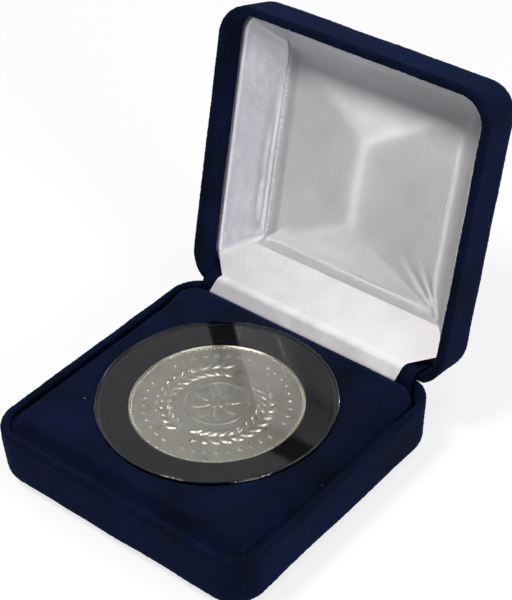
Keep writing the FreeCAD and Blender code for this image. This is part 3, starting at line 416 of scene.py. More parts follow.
PILE_GAP = 0.5        # distance between the rows of the velvet meshes
PILE = 0.35           # thickness of the velvet
LUMPS, TUFTS = (0.16, 9), (0.13, 0.55)     # height and size of the glued velvet's unevenness and of its pile
ALONG, TURN = 104, 24     # steps on each side and in each corner of an outline
print("points in one loop:", 4 * (ALONG + TURN))

# %% [markdown]
# ## Velvet of the base
#
# One piece of velvet is pulled round the shell. It starts at the hem under the box, comes up the sloping wall, rolls
# over the rim and ends a little way down inside. Its profile is drawn once and swept round the outline. The rear rim
# is sloped so that the lid can lean back, and it is notched round the knuckles. Both are pressed into the finished
# skin by moving the vertices that stand past them, which keeps the skin in one piece, as cloth would be.

# %% Bevel and knuckle room
def press_flat(bm, normal):
    """Move every vertex past a plane through the hinge axis back onto it."""
    for vert in bm.verts:
        past = (vert.co - HINGE).dot(normal)
        if past > 0:
            vert.co -= normal * past


def press_round(bm, way):
    """Clear a round channel about the hinge axis, pushing the velvet down (-1) or up (1)."""
    for vert in bm.verts:
        reach = vert.co - HINGE
        if abs(reach.x) < KNUCKLE_HALF and math.hypot(reach.y, reach.z) < KNUCKLE_ROOM:
            vert.co.z = HINGE_Z + way * math.sqrt(KNUCKLE_ROOM ** 2 - reach.y ** 2)


BEVEL = (OPEN + math.radians(4)) / 2     # each rear rim gives way by half of the swing and 4 degrees of play
KNUCKLE_ROOM, KNUCKLE_HALF = 1.15, 20.45     # radius and half length of the channel round the knuckles
print("rear bevel", round(math.degrees(BEVEL), 1), "degrees")

# %% The base's velvet
HEM_CORNER = 2.0      # corners of the hem, where the velvet is eased in
flat_from = (RIM_Z - SHEET) * math.tan(BASE_DRAFT) + BASE_ROUND * math.tan(math.pi / 4 - BASE_DRAFT / 2)
inner_rim = RIM_WIDTH + TURN_IN * math.tan(BASE_DRAFT)
profile = [(HEM_INSET, SHEET)]
profile += arc(flat_from, SHEET + BASE_ROUND, BASE_ROUND, 270, 360 - math.degrees(BASE_DRAFT), 10)
profile += arc(RIM_ROUND, RIM_Z - RIM_ROUND, RIM_ROUND, 0, 90, 5)
profile += arc(RIM_WIDTH - RIM_ROUND, RIM_Z - RIM_ROUND, RIM_ROUND, 90, 180, 5)
profile += [(inner_rim, RIM_Z - TURN_IN)]
profile = spaced(profile, PILE_GAP)
bm = bmesh.new()
sweep(bm, [outline(HALF_X - i, HALF_Y - i, HALF_Y - i, max(CORNER - i, HEM_CORNER - i / HEM_INSET), z, ALONG, TURN)
           for i, z in profile])
bmesh.ops.recalc_face_normals(bm, faces=bm.faces)
nap(bm, *LUMPS, 1)
nap(bm, *TUFTS, 2)
press_flat(bm, Vector((0, math.sin(BEVEL), math.cos(BEVEL))))
press_round(bm, -1)
base_cover = finish_piece("base_velvet_cover", bm, navy_velvet, "base", ["base_velvet"])
thicken(base_cover, PILE)

# %% [markdown]
# ## Velvet of the lid
#
# The lid's velvet is one square sheet pulled over the top and turned in round the rim, with its corners eased in. It
# is drawn with the lid shut, where its outline is a plain rounded rectangle, and then swung open with the rest of
# the lid about the hinge axis. The flat top is a grid whose edge meets the swept walls vertex for vertex.

# %% The lid's velvet
top_from = LID_HEIGHT * math.tan(LID_DRAFT) + LID_ROUND * math.tan(math.pi / 4 - LID_DRAFT / 2)
profile = [(RIM_WIDTH + TURN_IN * math.tan(LID_DRAFT), LID_RIM + TURN_IN)]
profile += arc(RIM_WIDTH - RIM_ROUND, LID_RIM + RIM_ROUND, RIM_ROUND, 180, 270, 5)
profile += arc(RIM_ROUND, LID_RIM + RIM_ROUND, RIM_ROUND, 270, 360, 5)
profile += arc(top_from, LID_TOP - LID_ROUND, LID_ROUND, math.degrees(LID_DRAFT), 90, 18)
profile = spaced(profile, PILE_GAP)
bm = bmesh.new()
sweep(bm, [outline(HALF_X - i, HALF_Y - i, HALF_Y - i, CORNER * (1 - i / top_from), z, ALONG, TURN)
           for i, z in profile])
top_x, top_y = HALF_X - top_from, HALF_Y - top_from
grid = bmesh.ops.create_grid(bm, x_segments=ALONG, y_segments=ALONG, size=1)["verts"]
for vert in grid:
    vert.co = Vector((vert.co.x * top_x, vert.co.y * top_y, LID_TOP))
bmesh.ops.remove_doubles(bm, verts=bm.verts, dist=0.01)
print("open edges of the lid's cover:", sum(e.is_boundary for e in bm.edges))
bmesh.ops.recalc_face_normals(bm, faces=bm.faces)
nap(bm, *LUMPS, 3)
nap(bm, *TUFTS, 4)
press_flat(bm, Vector((0, math.sin(BEVEL), -math.cos(BEVEL))))
press_round(bm, 1)
lid_cover = finish_piece("lid_velvet_cover", bm, navy_velvet, "lid", ["lid_velvet"], LID_OPEN)
thicken(lid_cover, PILE)

# %% [markdown]
# ## Insert
#
# The insert is a board with a slab of foam on it, pulled over with velvet and cut with a round hole. Along the front
# and side walls the velvet is pulled down hard, so it falls steeply to a groove. Behind the recess, where the ledge
# is narrow, it rolls over both edges and the two rolls meet in a crest. Each row of the mesh lies part of the way
# from the outline to the hole, and its height is the lower of the two edges there. In the recess the velvet reaches
# down to the pad. The foam under it is made by the same function, half a millimetre inside and a little lower.

# %% Velvet and foam of the insert
INSERT_X, INSERT_FRONT, INSERT_BACK = insert_high.x, -insert_low.y, insert_high.y
INSERT_TOP, INSERT_LOW = insert_high.z, insert_low.z
INSERT_CORNER, INSERT_ROLL = 5.5, 2.9
GROOVE_DEPTH, GROOVE_FLOOR, GROOVE_SLOPE = 2.7, 0.3, 2.8     # its floor and slope are widths
GROOVE_END, GROOVE_FADE = 18, 8     # the groove turns into the rear roll from this y on, over this length
RECESS_R, RECESS_ROLL = 26.12, 0.4
FOAM_INSIDE, FOAM_LOWER = 0.5, 1.4     # the foam's gap below the velvet is larger by the second, so it can't show
BOARD_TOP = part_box("insert_board")[1].z / MM


def roll_height(distance, radius):
    """How far a rolled edge lies below the top, that far in from the edge."""
    if distance >= radius:
        return 0.0
    return radius - math.sqrt(max(0.0, radius ** 2 - (radius - distance) ** 2))


def ease(share):
    """From 0 to 1 with a level start and end."""
    share = min(1.0, max(0.0, share))
    return share * share * (3 - 2 * share)


def edge_drop(inset, radius, y):
    """The pad falls steeply to a groove along the front and side walls, and in a plain roll behind."""
    groove = GROOVE_DEPTH * (1 - ease((inset - GROOVE_FLOOR) / GROOVE_SLOPE))
    return groove + (roll_height(max(inset, 0), radius) - groove) * ease((y - GROOVE_END) / GROOVE_FADE)


def insert_layer(bm, inside, low, hole_low, rows, along, turn):
    """The outside of one layer of the insert: up its side, over the top and down into the recess."""
    top, roll, hole_roll = INSERT_TOP - FOAM_LOWER * inside, INSERT_ROLL - inside, RECESS_ROLL - inside
    hole = RECESS_R + inside
    edge = outline(INSERT_X - inside, INSERT_BACK - inside, INSERT_FRONT - inside, INSERT_CORNER - inside, 0,
                   along, turn)
    middle = Vector((0, RECESS_Y, 0))
    rim = [middle + (point - middle).normalized() * hole for point in edge]
    corner = INSERT_CORNER - inside
    loops = []
    for k in range(rows + 1):
        share = (1 - math.cos(math.pi * k / rows)) / 2 * 0.6 + 0.4 * k / rows
        loop = []
        for outer, inner in zip(edge, rim):
            point = outer.lerp(inner, share)
            box_x = INSERT_X - inside - abs(point.x)
            box_y = INSERT_BACK - inside - point.y if point.y > 0 else INSERT_FRONT - inside + point.y
            dx, dy = corner - box_x, corner - box_y
            inset = corner - math.hypot(dx, dy) if dx > 0 and dy > 0 else min(box_x, box_y)
            drop = max(edge_drop(inset - inside, roll, point.y),
                       roll_height(max((point - middle).length - hole, 0), hole_roll))
            loop.append(Vector((point.x, point.y, max(top - drop, low + 0.02))))
        loops.append(loop)
    sides = max(2, round((top - roll - low) / 0.6))
    down = [[Vector((p.x, p.y, low + (q.z - low) * k / sides)) for p, q in zip(edge, loops[0])]
            for k in range(sides)]
    walls = [[Vector((p.x, p.y, q.z + (hole_low - q.z) * k / sides)) for p, q in zip(rim, loops[-1])]
             for k in range(1, sides + 1)]
    sweep(bm, down + loops + walls)
    bmesh.ops.recalc_face_normals(bm, faces=bm.faces)


bm = bmesh.new()
insert_layer(bm, 0, INSERT_LOW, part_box("recess_pad")[1].z / MM + 0.05, 40, 96, 20)
nap(bm, 0.22, 10, 5)      # over foam the velvet is less even than over a shell
nap(bm, 0.13, 0.5, 6)
insert_cover = finish_piece("insert_velvet_cover", bm, navy_velvet, "base", ["insert_velvet"])
thicken(insert_cover, PILE)

# %% [markdown]
# ## Coin
#
# The coin is struck silver: a raised rim, a ring of beads inside it, low relief on a flat field and a reeded edge.
# The relief is a generic pattern made for this model, a wreath of leaves round a rosette with a ring of lozenges.
# It is a polar net of vertices whose height is the tallest of the motifs at that place, because a struck relief is
# one soft surface, and separate shapes laid on a disc would have hard edges that no die gives.

# %% Relief of the coin
COIN_R, COIN_RIM = 19.05, 0.4
COIN_LOW, COIN_TOP = coin_low.z, coin_high.z
FIELD = 0.32          # field below the rim
RELIEF = 0.3          # highest relief above the field
BEADS, BEAD_R, BEAD_SIZE = 150, 18.3, 0.3
REEDS, REED_DEPTH = 180, 0.12
PETALS, BOSS, CIRCLE = 5.6, 1.7, (6.3, 6.9)     # radii of the rosette, its middle and the thin circle round it
WREATH, LEAF_LONG, LEAF_WIDE = 10.9, 1.55, 0.62
LOZENGE_R, LOZENGE_LONG, LOZENGE_WIDE = 15.6, 0.75, 0.5


def dome(distance, radius):
    """A rounded bump that reaches zero at its radius."""
    return math.sqrt(max(0.0, 1 - (distance / radius) ** 2))


def leaf_height(x, y, cx, cy, angle, length, width):
    """A leaf of a wreath: a long bump with a sunk vein."""
    u = (x - cx) * math.cos(angle) + (y - cy) * math.sin(angle)
    v = (y - cy) * math.cos(angle) - (x - cx) * math.sin(angle)
    lens = width * max(0.0, 1 - (u / length) ** 2)
    if lens <= 0 or abs(v) >= lens:
        return 0.0
    return dome(v, lens) * (0.65 if abs(v) < 0.1 else 1.0)


LEAVES = []
for side in (-1, 1):
    for step in range(13):
        around = math.radians(-90 + side * (14 + step * 11.5))
        for lean in (-1, 1):
            radius = WREATH + 1.25 * lean
            tangent = around + side * math.pi / 2
            LEAVES.append((radius * math.cos(around), radius * math.sin(around), tangent - side * lean * 0.55))
LOZENGES = [math.radians(360 * k / 40 + 4) for k in range(40) if k % 10]


def relief(x, y):
    """Height of the relief at a place on the field, from 0 to 1."""
    r, turn = math.hypot(x, y), math.atan2(y, x)
    height = 0.0
    petals = PETALS * abs(math.cos(4 * turn)) ** 0.6
    if r < petals:
        height = 0.2 + 0.4 * dome(r, petals)
    if r < BOSS:
        height = 0.75 + 0.25 * dome(r, BOSS)
    if CIRCLE[0] < r < CIRCLE[1]:
        height = max(height, 0.45)
    if abs(r - WREATH) < 2.7:
        for cx, cy, angle in LEAVES:
            if abs(x - cx) < 1.7 and abs(y - cy) < 1.7:
                height = max(height, leaf_height(x, y, cx, cy, angle, LEAF_LONG, LEAF_WIDE))
    if abs(r - LOZENGE_R) < 1:
        for around in LOZENGES:
            u, v = r - LOZENGE_R, (turn - around + math.pi) % (2 * math.pi) - math.pi
            height = max(height, 1.2 - 1.2 * (abs(u) / LOZENGE_LONG + abs(v) * LOZENGE_R / LOZENGE_WIDE))
    return min(height, 1.1)


def circle(r, around):
    """Points (x, y) on a circle about the coin's middle."""
    return [(r * math.cos(2 * math.pi * k / around), r * math.sin(2 * math.pi * k / around)) for k in range(around)]


def coin_face(bm, z, up, rings, around):
    """One struck face, with its rim."""
    loops = []
    for k in range(rings + 1):
        points = circle(0.05 + (COIN_R - COIN_RIM - 0.05) * k / rings, around)
        loops.append([Vector((x, y + RECESS_Y, z - up * (FIELD - RELIEF * relief(x, y)))) for x, y in points])
    for r, drop in ((COIN_R - COIN_RIM + 0.1, 0.0), (COIN_R - 0.22, 0.0), (COIN_R - 0.06, 0.1), (COIN_R, 0.28)):
        loops.append([Vector((x, y + RECESS_Y, z - up * drop)) for x, y in circle(r, around)])
    sweep(bm, loops)


def add_beads(bm, z, up):
    """A ring of beads inside the rim, made apart, because each sphere added to the large net would be slow."""
    ring = bmesh.new()
    for x, y in circle(BEAD_R, BEADS):
        middle = Matrix.Translation((x, y + RECESS_Y, z - up * BEAD_SIZE))
        bmesh.ops.create_uvsphere(ring, u_segments=6, v_segments=4, radius=BEAD_SIZE, matrix=middle)
    mesh = bpy.data.meshes.new("beads")
    ring.to_mesh(mesh)
    ring.free()
    bm.from_mesh(mesh)
    bpy.data.meshes.remove(mesh)


bm = bmesh.new()
coin_face(bm, COIN_TOP, 1, 96, 2 * REEDS)
coin_face(bm, COIN_LOW, -1, 96, 2 * REEDS)
poles = [v for v in bm.verts if math.hypot(v.co.x, v.co.y - RECESS_Y) < 0.06]
for cap in [[v for v in poles if (v.co.z > COIN_LOW + 1) == upper] for upper in (True, False)]:
    bmesh.ops.pointmerge(bm, verts=cap, merge_co=sum((v.co for v in cap), Vector()) / len(cap))
bmesh.ops.bridge_loops(bm, edges=[e for e in bm.edges if e.is_boundary])
for vert in bm.verts:
    reach = vert.co - Vector((0, RECESS_Y, vert.co.z))
    if reach.length > COIN_R - 0.01:
        number = round(math.atan2(reach.y, reach.x) / math.pi * REEDS)
        vert.co -= reach.normalized() * (REED_DEPTH if number % 2 else 0.0)
bmesh.ops.recalc_face_normals(bm, faces=bm.faces)
add_beads(bm, COIN_TOP, 1)
add_beads(bm, COIN_LOW, -1)
finish_piece("struck_coin", bm, silver, "coin", ["coin"])

# %% [markdown]
# ## Foam ring
#
# The ring is die-cut from dark foam sheet. Its cut edges are a little rounded and its top swells slightly between
# them, which a short profile spun once round the middle gives.

# %% The ring
def spin_profile(bm, profile, steps):
    """Spin a closed or open profile of (radius, z) points right round the middle of the recess."""
    verts = [bm.verts.new((r, RECESS_Y, z)) for r, z in profile]
    edges = [bm.edges.new(pair) for pair in zip(verts, verts[1:])]
    bmesh.ops.spin(bm, geom=verts + edges, cent=(0, RECESS_Y, 0), axis=(0, 0, 1), angle=2 * math.pi, steps=steps,
                   use_merge=True)
    bmesh.ops.remove_doubles(bm, verts=bm.verts, dist=1e-3)
    bmesh.ops.recalc_face_normals(bm, faces=bm.faces)


RING_OUT = ring_high.x
RING_IN = COIN_R + 0.08
low, high = ring_low.z, ring_high.z
profile = [(RING_IN + 0.2, low), (RING_OUT - 0.2, low), (RING_OUT, low + 0.2), (RING_OUT, high - 0.35),
           (RING_OUT - 0.12, high - 0.12), (RING_OUT - 0.4, high - 0.03), (RING_OUT - 1.4, high),
           (RING_IN + 1.4, high), (RING_IN + 0.4, high - 0.03), (RING_IN + 0.1, high - 0.14), (RING_IN, high - 0.4),
           (RING_IN, low + 0.2), (RING_IN + 0.2, low)]
bm = bmesh.new()
spin_profile(bm, profile, 160)
ring = finish_piece("foam_ring_soft", bm, ring_foam, "ring", ["foam_ring"])

# %% Foam under the insert's velvet and pad under the capsule
bm = bmesh.new()
insert_layer(bm, FOAM_INSIDE, BOARD_TOP, BOARD_TOP, 14, 30, 8)
nap(bm, 0.08, 3, 7)
foam_slab = finish_piece("insert_foam_slab", bm, pad_foam, "base", ["insert_foam"])
thicken(foam_slab, 0.3)

pad_low, pad_high = (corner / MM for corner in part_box("recess_pad"))
PAD_R = pad_high.x
profile = [(0.02, pad_low.z), (PAD_R - 0.2, pad_low.z), (PAD_R, pad_low.z + 0.2), (PAD_R - 0.05, pad_high.z - 0.2),
           (PAD_R - 0.3, pad_high.z)] + [(PAD_R - 0.3 - (PAD_R - 0.32) * k / 50, pad_high.z) for k in range(1, 51)]
bm = bmesh.new()
spin_profile(bm, profile, 200)
nap(bm, 0.05, 0.6, 8)
recess_disc = finish_piece("recess_velvet_disc", bm, navy_velvet, "base", ["recess_pad"])

# %% [markdown]
# ## Satin walls of the lid
#
# The lid's lining is a band of card that slopes from the velvet's edge to the ceiling, wrapped in satin. The satin is
# turned round the card's lower edge in a small roll. It isn't quite tight: it is uneven by a tenth of a millimetre,
# and it stands off the card in a long thin roll along the left crease. On the left wall the floats run up the wall.

# %% The satin walls
LINER_Z = LID_RIM + TURN_IN + 0.1
CEILING_Z = LID_TOP - 1.95
LINER_LOW, LINER_HIGH = 2.72, 10.17     # insets of the lining at its lower and upper edge
EDGE_CORNER, CREASE_CORNER = 5.28, 1.5
profile = [(LINER_LOW - 0.2, LINER_Z + 0.05)]
profile += arc(LINER_LOW + 0.1, LINER_Z + 0.25, 0.3, 270, 180, 4)
profile += [(LINER_HIGH, CEILING_Z)]
profile = spaced(profile, 0.5)


def wall_outline(inset, z):
    """The lining's outline at a height, with corners that grow tighter towards the ceiling."""
    share = min(1.0, max(0.0, (z - LINER_Z) / (CEILING_Z - LINER_Z)))
    corner = EDGE_CORNER + (CREASE_CORNER - EDGE_CORNER) * share
    return outline(HALF_X - inset, HALF_Y - inset, HALF_Y - inset, corner, z, ALONG, TURN)


def wall_cloth(point, normal):
    """Place on the flat cloth: floats along the band, but turned up the wall on the left."""
    side_wall = abs(normal.x) > abs(normal.y)
    along, rise = point.y if side_wall else point.x, 1.4 * point.z
    turn = math.radians(100 if side_wall and point.x < -20 else 0)
    return along * math.sin(turn) - rise * math.cos(turn), along * math.cos(turn) + rise * math.sin(turn)


ROLL_OFF, ROLL_WIDE = Vector((0.3, 0, -0.3)), 0.8     # how far the roll stands off, and its width
bm = bmesh.new()
sweep(bm, [wall_outline(i, z) for i, z in profile])
bmesh.ops.recalc_face_normals(bm, faces=bm.faces)
if sum(f.normal.dot(Vector((f.calc_center_median().x, f.calc_center_median().y, 0))) for f in bm.faces) > 0:
    bmesh.ops.reverse_faces(bm, faces=bm.faces)
for vert in bm.verts:
    if vert.co.x < 0:
        fade = ease((vert.co.y + 18) / 22) * (1 - ease((vert.co.y - 19) / 4))
        beside = vert.co.x + HALF_X - LINER_HIGH + 0.9
        vert.co += ROLL_OFF * fade * math.exp(-(beside / ROLL_WIDE) ** 2)
nap(bm, 0.1, 8, 9)
nap(bm, 0.04, 2.0, 10)
lay_cloth(bm, wall_cloth)
satin_walls = finish_piece("lid_satin_walls", bm, white_satin, "lid", ["lid_wall_satin"], LID_OPEN)
thicken(satin_walls, 0.15)

# %% [markdown]
# ## Satin pillow
#
# The ceiling pad is wadding under satin, drawn tight to its four edges over a short ridge, so it has two large faces
# and a triangle at each end. The soft joins between the four slopes are what make it cloth: each height is a smooth
# minimum of the four slopes, so ridge and hips are rounded and the faces are slightly hollow. The satin laps a little
# way up the walls, and narrow folds fan out from the corners, where it is gathered under the pad.

# %% The pillow
CREASE_X, CREASE_Y = HALF_X - LINER_HIGH, HALF_Y - LINER_HIGH
WALL_RISE = (CEILING_Z - LINER_Z) / (LINER_HIGH - LINER_LOW)
PILLOW_EDGE, PILLOW_RISE = 0.45, 2.9
RIDGE_FRONT, RIDGE_REAR = 14.4, 13.2     # run of the triangles to the ridge's ends
SOFT, HOLLOW = 0.055, 1.4     # width of the rounded joins, and the power that makes the faces hollow
LAPS = (0.5, 3.1, 3.0, 1.1)     # how far the satin laps up the left, right, front and rear walls
RISES = (WALL_RISE, WALL_RISE, WALL_RISE, 2.0)     # how steep each wall is


def soft_min(values, width):
    """The smallest of some values, rounded where two come near each other."""
    least = min(values)
    return least - width * math.log(sum(math.exp(-(v - least) / width) for v in values))


def lap_height(inwards, lap, rise):
    """A hollow curve from the ceiling onto a wall, at a distance inwards from their crease."""
    short = lap - inwards
    return rise * short ** 2 / (4 * lap) if short > 0 else 0.0


# Folds: corner, angle from its long side, length, height and width in millimetres
FOLDS = [(1, 1, 27, 28, 0.42, 1.0), (1, 1, 45, 19, 0.5, 0.9), (1, 1, 60, 15, 0.4, 0.8), (1, 1, 12, 11, 0.3, 0.7),
         (-1, 1, 40, 10, 0.22, 0.8), (-1, 1, 20, 12, 0.2, 0.8), (1, -1, 30, 10, 0.15, 1.0),
         (-1, -1, 50, 9, 0.15, 0.9)]


def folds(x, y):
    """Narrow ridges that fan out from the corners, where the satin is gathered under the pad."""
    total = 0.0
    for corner_x, corner_y, angle, length, height, width in FOLDS:
        u, v = CREASE_X - x * corner_x, CREASE_Y - y * corner_y
        turn = math.radians(angle)
        along, across = u * math.cos(turn) + v * math.sin(turn), v * math.cos(turn) - u * math.sin(turn)
        if 0 < along < length:
            share = along / length
            wide = width * (0.5 + 0.7 * share)
            total += (height * math.sin(math.pi * share ** 0.6) * (1 - share)
                      * math.exp(-(across / wide) ** 2))
    return total


def pillow_height(x, y, inside, laps):
    """How far the pillow hangs below the ceiling at a place."""
    inwards = (CREASE_X + x, CREASE_X - x, CREASE_Y + y, CREASE_Y - y)
    runs = (CREASE_X, CREASE_X, RIDGE_FRONT, RIDGE_REAR)
    slopes = [max(0.0, reach / run) for reach, run in zip(inwards, runs)]
    share = max(0.0, soft_min(slopes + [1.02], SOFT) + 0.04)
    height = PILLOW_EDGE + PILLOW_RISE * min(share, 1.0) ** HOLLOW - inside
    if laps:
        border = min(reach + lap for reach, lap in zip(inwards, LAPS))
        height -= PILLOW_EDGE * (1 - ease(border / 4.5)) + 0.15 * (1 - ease(border / 0.8))
        height += max(lap_height(reach, lap, rise) for reach, lap, rise in zip(inwards, LAPS, RISES)) + folds(x, y)
        height += 0.1 * math.exp(-((inwards[0] - 0.9) / 0.6) ** 2)     # a low roll beside the left crease
    return height


def pillow_skin(bm, inside, cells, laps):
    """A closed skin: a grid hung from the ceiling, and its back."""
    left, right, front, rear = (lap - inside for lap in (LAPS if laps else (0, 0, 0, 0)))
    grid = bmesh.ops.create_grid(bm, x_segments=cells, y_segments=cells, size=1)["verts"]
    for vert in grid:
        x = vert.co.x * CREASE_X + (right * (1 + vert.co.x) - left * (1 - vert.co.x)) / 2
        y = vert.co.y * CREASE_Y + (rear * (1 + vert.co.y) - front * (1 - vert.co.y)) / 2
        vert.co = Vector((x, y, CEILING_Z - pillow_height(x, y, inside, laps)))
    border = [e for e in bm.edges if e.is_boundary]
    for edge in border:
        edge.smooth = False
    made = bmesh.ops.extrude_edge_only(bm, edges=border)["geom"]
    back_x, back_y = CREASE_X - 0.2, CREASE_Y - 0.2
    for vert in made:
        if isinstance(vert, bmesh.types.BMVert):
            x, y = vert.co.x, vert.co.y
            vert.co = Vector((max(-back_x, min(back_x, x)), max(-back_y, min(back_y, y)), CEILING_Z))
    bmesh.ops.holes_fill(bm, edges=[e for e in bm.edges if e.is_boundary], sides=0)
    bmesh.ops.recalc_face_normals(bm, faces=bm.faces)


def on_bias(along, across, degrees):
    """Place on cloth that is cut some degrees off its straight grain."""
    turn = math.radians(degrees)
    return along * math.cos(turn) - across * math.sin(turn), across * math.cos(turn) + along * math.sin(turn)


PILLOW_BIAS, APRON_BIAS = 14, 13
bm = bmesh.new()
pillow_skin(bm, 0, 130, True)
nap(bm, 0.05, 9, 11)
lay_cloth(bm, lambda point, normal: on_bias(point.y, point.x, PILLOW_BIAS))
pillow = finish_piece("lid_satin_pillow", bm, white_satin, "lid", ["lid_pad_satin"], LID_OPEN)
bm = bmesh.new()
pillow_skin(bm, 0.25, 40, False)
filling = finish_piece("lid_wadding", bm, wadding, "lid", ["lid_pad_wadding"], LID_OPEN)

# %% [markdown]
# ## Cloth over the hinge
#
# A velvet strip is glued inside the base and inside the lid so that the hinge doesn't show, and a satin apron lies
# over it and runs up the lid's rear wall. Both go round the hinge axis in an arc while the box is open. The apron is
# one sheet with the rear wall's lining, and its lower end is slack, so it rests on the pad in a small pleat. Each is
# a row of vertices along its path, extruded sideways, and it is made in its shape for the open lid.

# %% Strip and apron
def on_lid(y, z):
    """A point of the hinge's cross-section that belongs to the lid, swung open."""
    return LID_OPEN @ Vector((0, HINGE_Y - y, HINGE_Z + z))


def hinge_path(radius, base_points, start, lid_points, gap):
    """From points inside the base, round the hinge axis from an angle, and along the lid."""
    path = [HINGE + Vector((0, y, z)) for y, z in base_points]
    end = 180 - math.degrees(OPEN)
    for step in range(13):
        turned = math.radians(start + (end - start) * step / 12)
        path.append(HINGE + radius * Vector((0, math.cos(turned), math.sin(turned))))
    return spaced(path + [on_lid(y, z) for y, z in lid_points], gap)


def hinge_cloth(bm, path, half_width, columns):
    """A sheet along a path, extruded sideways, with its half width at each point of the path."""
    halves = [half_width(point) for point in path]
    order = bm.verts.layers.int.new("order")
    verts = [bm.verts.new(point - Vector((half, 0, 0))) for point, half in zip(path, halves)]
    for number, vert in enumerate(verts):
        vert[order] = number
    edges = [bm.edges.new(pair) for pair in zip(verts, verts[1:])]
    for column in range(1, columns + 1):
        made = bmesh.ops.extrude_edge_only(bm, edges=edges)["geom"]
        fresh = {v for v in made if isinstance(v, bmesh.types.BMVert)}
        for vert in fresh:
            vert.co.x = halves[vert[order]] * (2 * column / columns - 1)
        edges = [e for e in made if isinstance(e, bmesh.types.BMEdge) and set(e.verts) <= fresh]
    bmesh.ops.recalc_face_normals(bm, faces=bm.faces)


def face_up(bm):
    """Turn a sheet so that its right side looks to the front and up."""
    if sum(f.normal.dot(Vector((0, -1, 1))) * f.calc_area() for f in bm.faces) < 0:
        bmesh.ops.reverse_faces(bm, faces=bm.faces)


STRIP_R, APRON_R = 2.02, 2.32      # bend radii about the hinge axis
STRIP_HALF, STRIP_DOWN, STRIP_UP = 29.5, 4.6, 5.7
strip_path = hinge_path(STRIP_R, [(-STRIP_R, -STRIP_DOWN)], 180, [(STRIP_R, STRIP_UP)], 0.5)
bm = bmesh.new()
hinge_cloth(bm, strip_path, lambda point: STRIP_HALF, 110)
face_up(bm)
nap(bm, 0.1, 0.6, 12)
strip = finish_piece("hinge_velvet_strip", bm, navy_velvet, None, ["hinge_velvet"])
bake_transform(strip)

APRON_HALF, APRON_WIDE, APRON_FOLD = 26.0, 31.75, 0.6
FOLD_Z = HINGE_Z + APRON_FOLD     # height of the apron's fold, with the lid shut


def apron_half(point):
    """Half the apron's width: it widens from its fold to the lining, and then follows the side walls."""
    shut = LID_OPEN.inverted() @ point
    if shut.z <= FOLD_Z:
        return APRON_HALF
    if shut.z <= LINER_Z:
        return APRON_HALF + (APRON_WIDE - APRON_HALF) * (shut.z - FOLD_Z) / (LINER_Z - FOLD_Z)
    share = (shut.z - LINER_Z) / (CEILING_Z - LINER_Z)
    return APRON_WIDE + (CREASE_X - APRON_WIDE) * share + 1.1 * share * (1 - share)


# The slack pleat, as points beside the axis: from the glued end up, forwards over the pad's rear roll and back
SLACK = [(-2.34, -3.0), (-2.36, -2.2), (-2.62, -1.2), (-3.1, -0.45), (-3.42, 0.08), (-3.5, 0.3), (-3.4, 0.45)]
WALL_END = (8.5, 13.1)     # where the sheet meets the ceiling's crease
apron_path = hinge_path(APRON_R, SLACK, 125, [(APRON_R, APRON_FOLD), WALL_END], 0.45)
bm = bmesh.new()
hinge_cloth(bm, apron_path, apron_half, 130)
face_up(bm)
nap(bm, 0.06, 6, 13)
hanging = [v for v in bm.verts if (LID_OPEN.inverted() @ v.co).z < FOLD_Z]
nap(bm, 0.05, 4, 14, hanging)
nap(bm, 0.03, 2, 15, hanging)
lay_cloth(bm, lambda point, normal: on_bias(point.y + point.z, point.x, APRON_BIAS))
apron = finish_piece("satin_apron_sheet", bm, white_satin, None, ["satin_apron"])
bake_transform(apron)

# %% [markdown]
# ## Floor, light and camera
#
# The box stands on a plain white floor. The main light is a soft lamp high up in front, and a wider one stands on the
# right. Two weak ones, low behind the left side and overhead, give the lid's left wall and the capsule's rim their
# light, and the room is a little brighter behind the box. The floor is grey paper that glows for the camera and in
# reflections, so it shows white and still takes the box's shadow.

# %% Floor
floor_material, tree, shader, place = new_material("white_paper_floor", {
    "Base Color": srgb("#8e8e90"), "Roughness": 0.9})
path = add(tree, "LightPath")
seen = add(tree, "Math", links={0: path.outputs["Is Camera Ray"], 1: path.outputs["Is Glossy Ray"]},
           operation="MAXIMUM")
seen = add(tree, "Math", links={0: seen.outputs[0], 1: path.outputs["Is Transmission Ray"]}, operation="MAXIMUM")
glow = add(tree, "Emission", {"Color": srgb("#ffffff"), "Strength": 0.76})
both = add(tree, "AddShader", links={0: shader.outputs["BSDF"], 1: glow.outputs["Emission"]})
pick = add(tree, "MixShader", links={0: seen.outputs[0], 1: shader.outputs["BSDF"], 2: both.outputs["Shader"]})
tree.links.new(pick.outputs["Shader"], tree.nodes["Material Output"].inputs["Surface"])
bm = bmesh.new()
bmesh.ops.create_grid(bm, x_segments=2, y_segments=2, size=2.0)
mesh = bpy.data.meshes.new("floor")
bm.to_mesh(mesh)
bm.free()
mesh.materials.append(floor_material)
floor = bpy.data.objects.new("floor", mesh)
bpy.context.scene.collection.objects.link(floor)

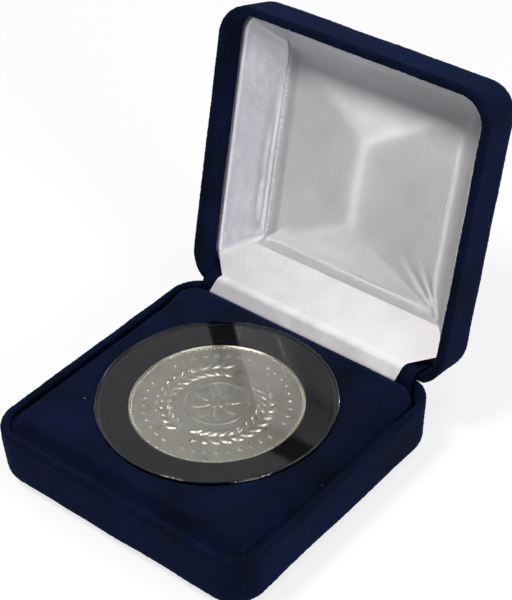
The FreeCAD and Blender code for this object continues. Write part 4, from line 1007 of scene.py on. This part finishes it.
# %% World and lamps
world = bpy.data.worlds.new("soft_room")
bpy.context.scene.world = world
world.use_nodes = True
tree = world.node_tree
tree.nodes.clear()
path = add(tree, "LightPath")
way = add(tree, "SeparateXYZ", links={"Vector": add(tree, "TexCoord").outputs["Generated"]})
behind = add(tree, "MapRange", {"From Min": -0.5, "From Max": 0.6, "To Min": 0.1, "To Max": 0.4},
             {"Value": way.outputs["Y"]})
room = add(tree, "Background", {"Color": srgb("#eeeff5")}, {"Strength": behind.outputs["Result"]})
white = add(tree, "Background", {"Color": srgb("#ffffff"), "Strength": 1.0})
pick = add(tree, "MixShader", links={0: path.outputs["Is Camera Ray"], 1: room.outputs[0], 2: white.outputs[0]})
add(tree, "OutputWorld", links={"Surface": pick.outputs[0]})


def lamp(name, place, target, size, power, colour):
    """A round soft lamp that faces a target, in metres and watts."""
    light = bpy.data.lights.new(name, "AREA")
    light.shape, light.size, light.energy, light.color = "DISK", size, power, srgb(colour)[:3]
    made = bpy.data.objects.new(name, light)
    made.location = place
    made.rotation_mode = "QUATERNION"
    made.rotation_quaternion = (Vector(target) - Vector(place)).to_track_quat("-Z", "Y")
    bpy.context.scene.collection.objects.link(made)


lamp("front_lamp", (-0.10, -0.22, 0.58), (0, 0.03, 0.03), 0.15, 1.95, "#fffcf8")
lamp("side_lamp", (0.75, -0.18, 0.34), (0, 0, 0.03), 0.35, 3.1, "#f8f8ff")
lamp("back_lamp", (-0.6, 0.2, 0.2), (0, 0, 0.02), 0.12, 0.4, "#f4f6ff")
lamp("top_lamp", (0.14, 0.06, 0.56), (0, 0, 0.02), 0.14, 0.4, "#ffffff")
print("lamps placed")

# %% Camera
azimuth, elevation, roll = (math.radians(a) for a in (39.96, 37.819, -1.598))
AIM, DISTANCE = Vector((-2.955, 18.242, 30.665)), 366.704     # millimetres
FOCUS, FRAME, SENSOR = 1713.657, 600, 36     # focal length and frame height in pixels, sensor in millimetres
level = Vector((math.sin(azimuth), -math.cos(azimuth), 0))
back = level * math.cos(elevation) + Vector((0, 0, math.sin(elevation)))
right = Vector((math.cos(azimuth), math.sin(azimuth), 0))
up = back.cross(right)
right, up = right * math.cos(roll) + up * math.sin(roll), up * math.cos(roll) - right * math.sin(roll)
camera_data = bpy.data.cameras.new("camera")
camera_data.lens = FOCUS * SENSOR / FRAME
camera_data.sensor_width = SENSOR
camera_data.clip_start = 0.01
camera = bpy.data.objects.new("camera", camera_data)
turned = Matrix((right, up, back)).transposed().to_4x4()
camera.matrix_world = Matrix.Translation((AIM + back * DISTANCE) * MM) @ turned
bpy.context.scene.collection.objects.link(camera)
bpy.context.scene.camera = camera
bpy.context.scene.view_settings.view_transform = "Standard"
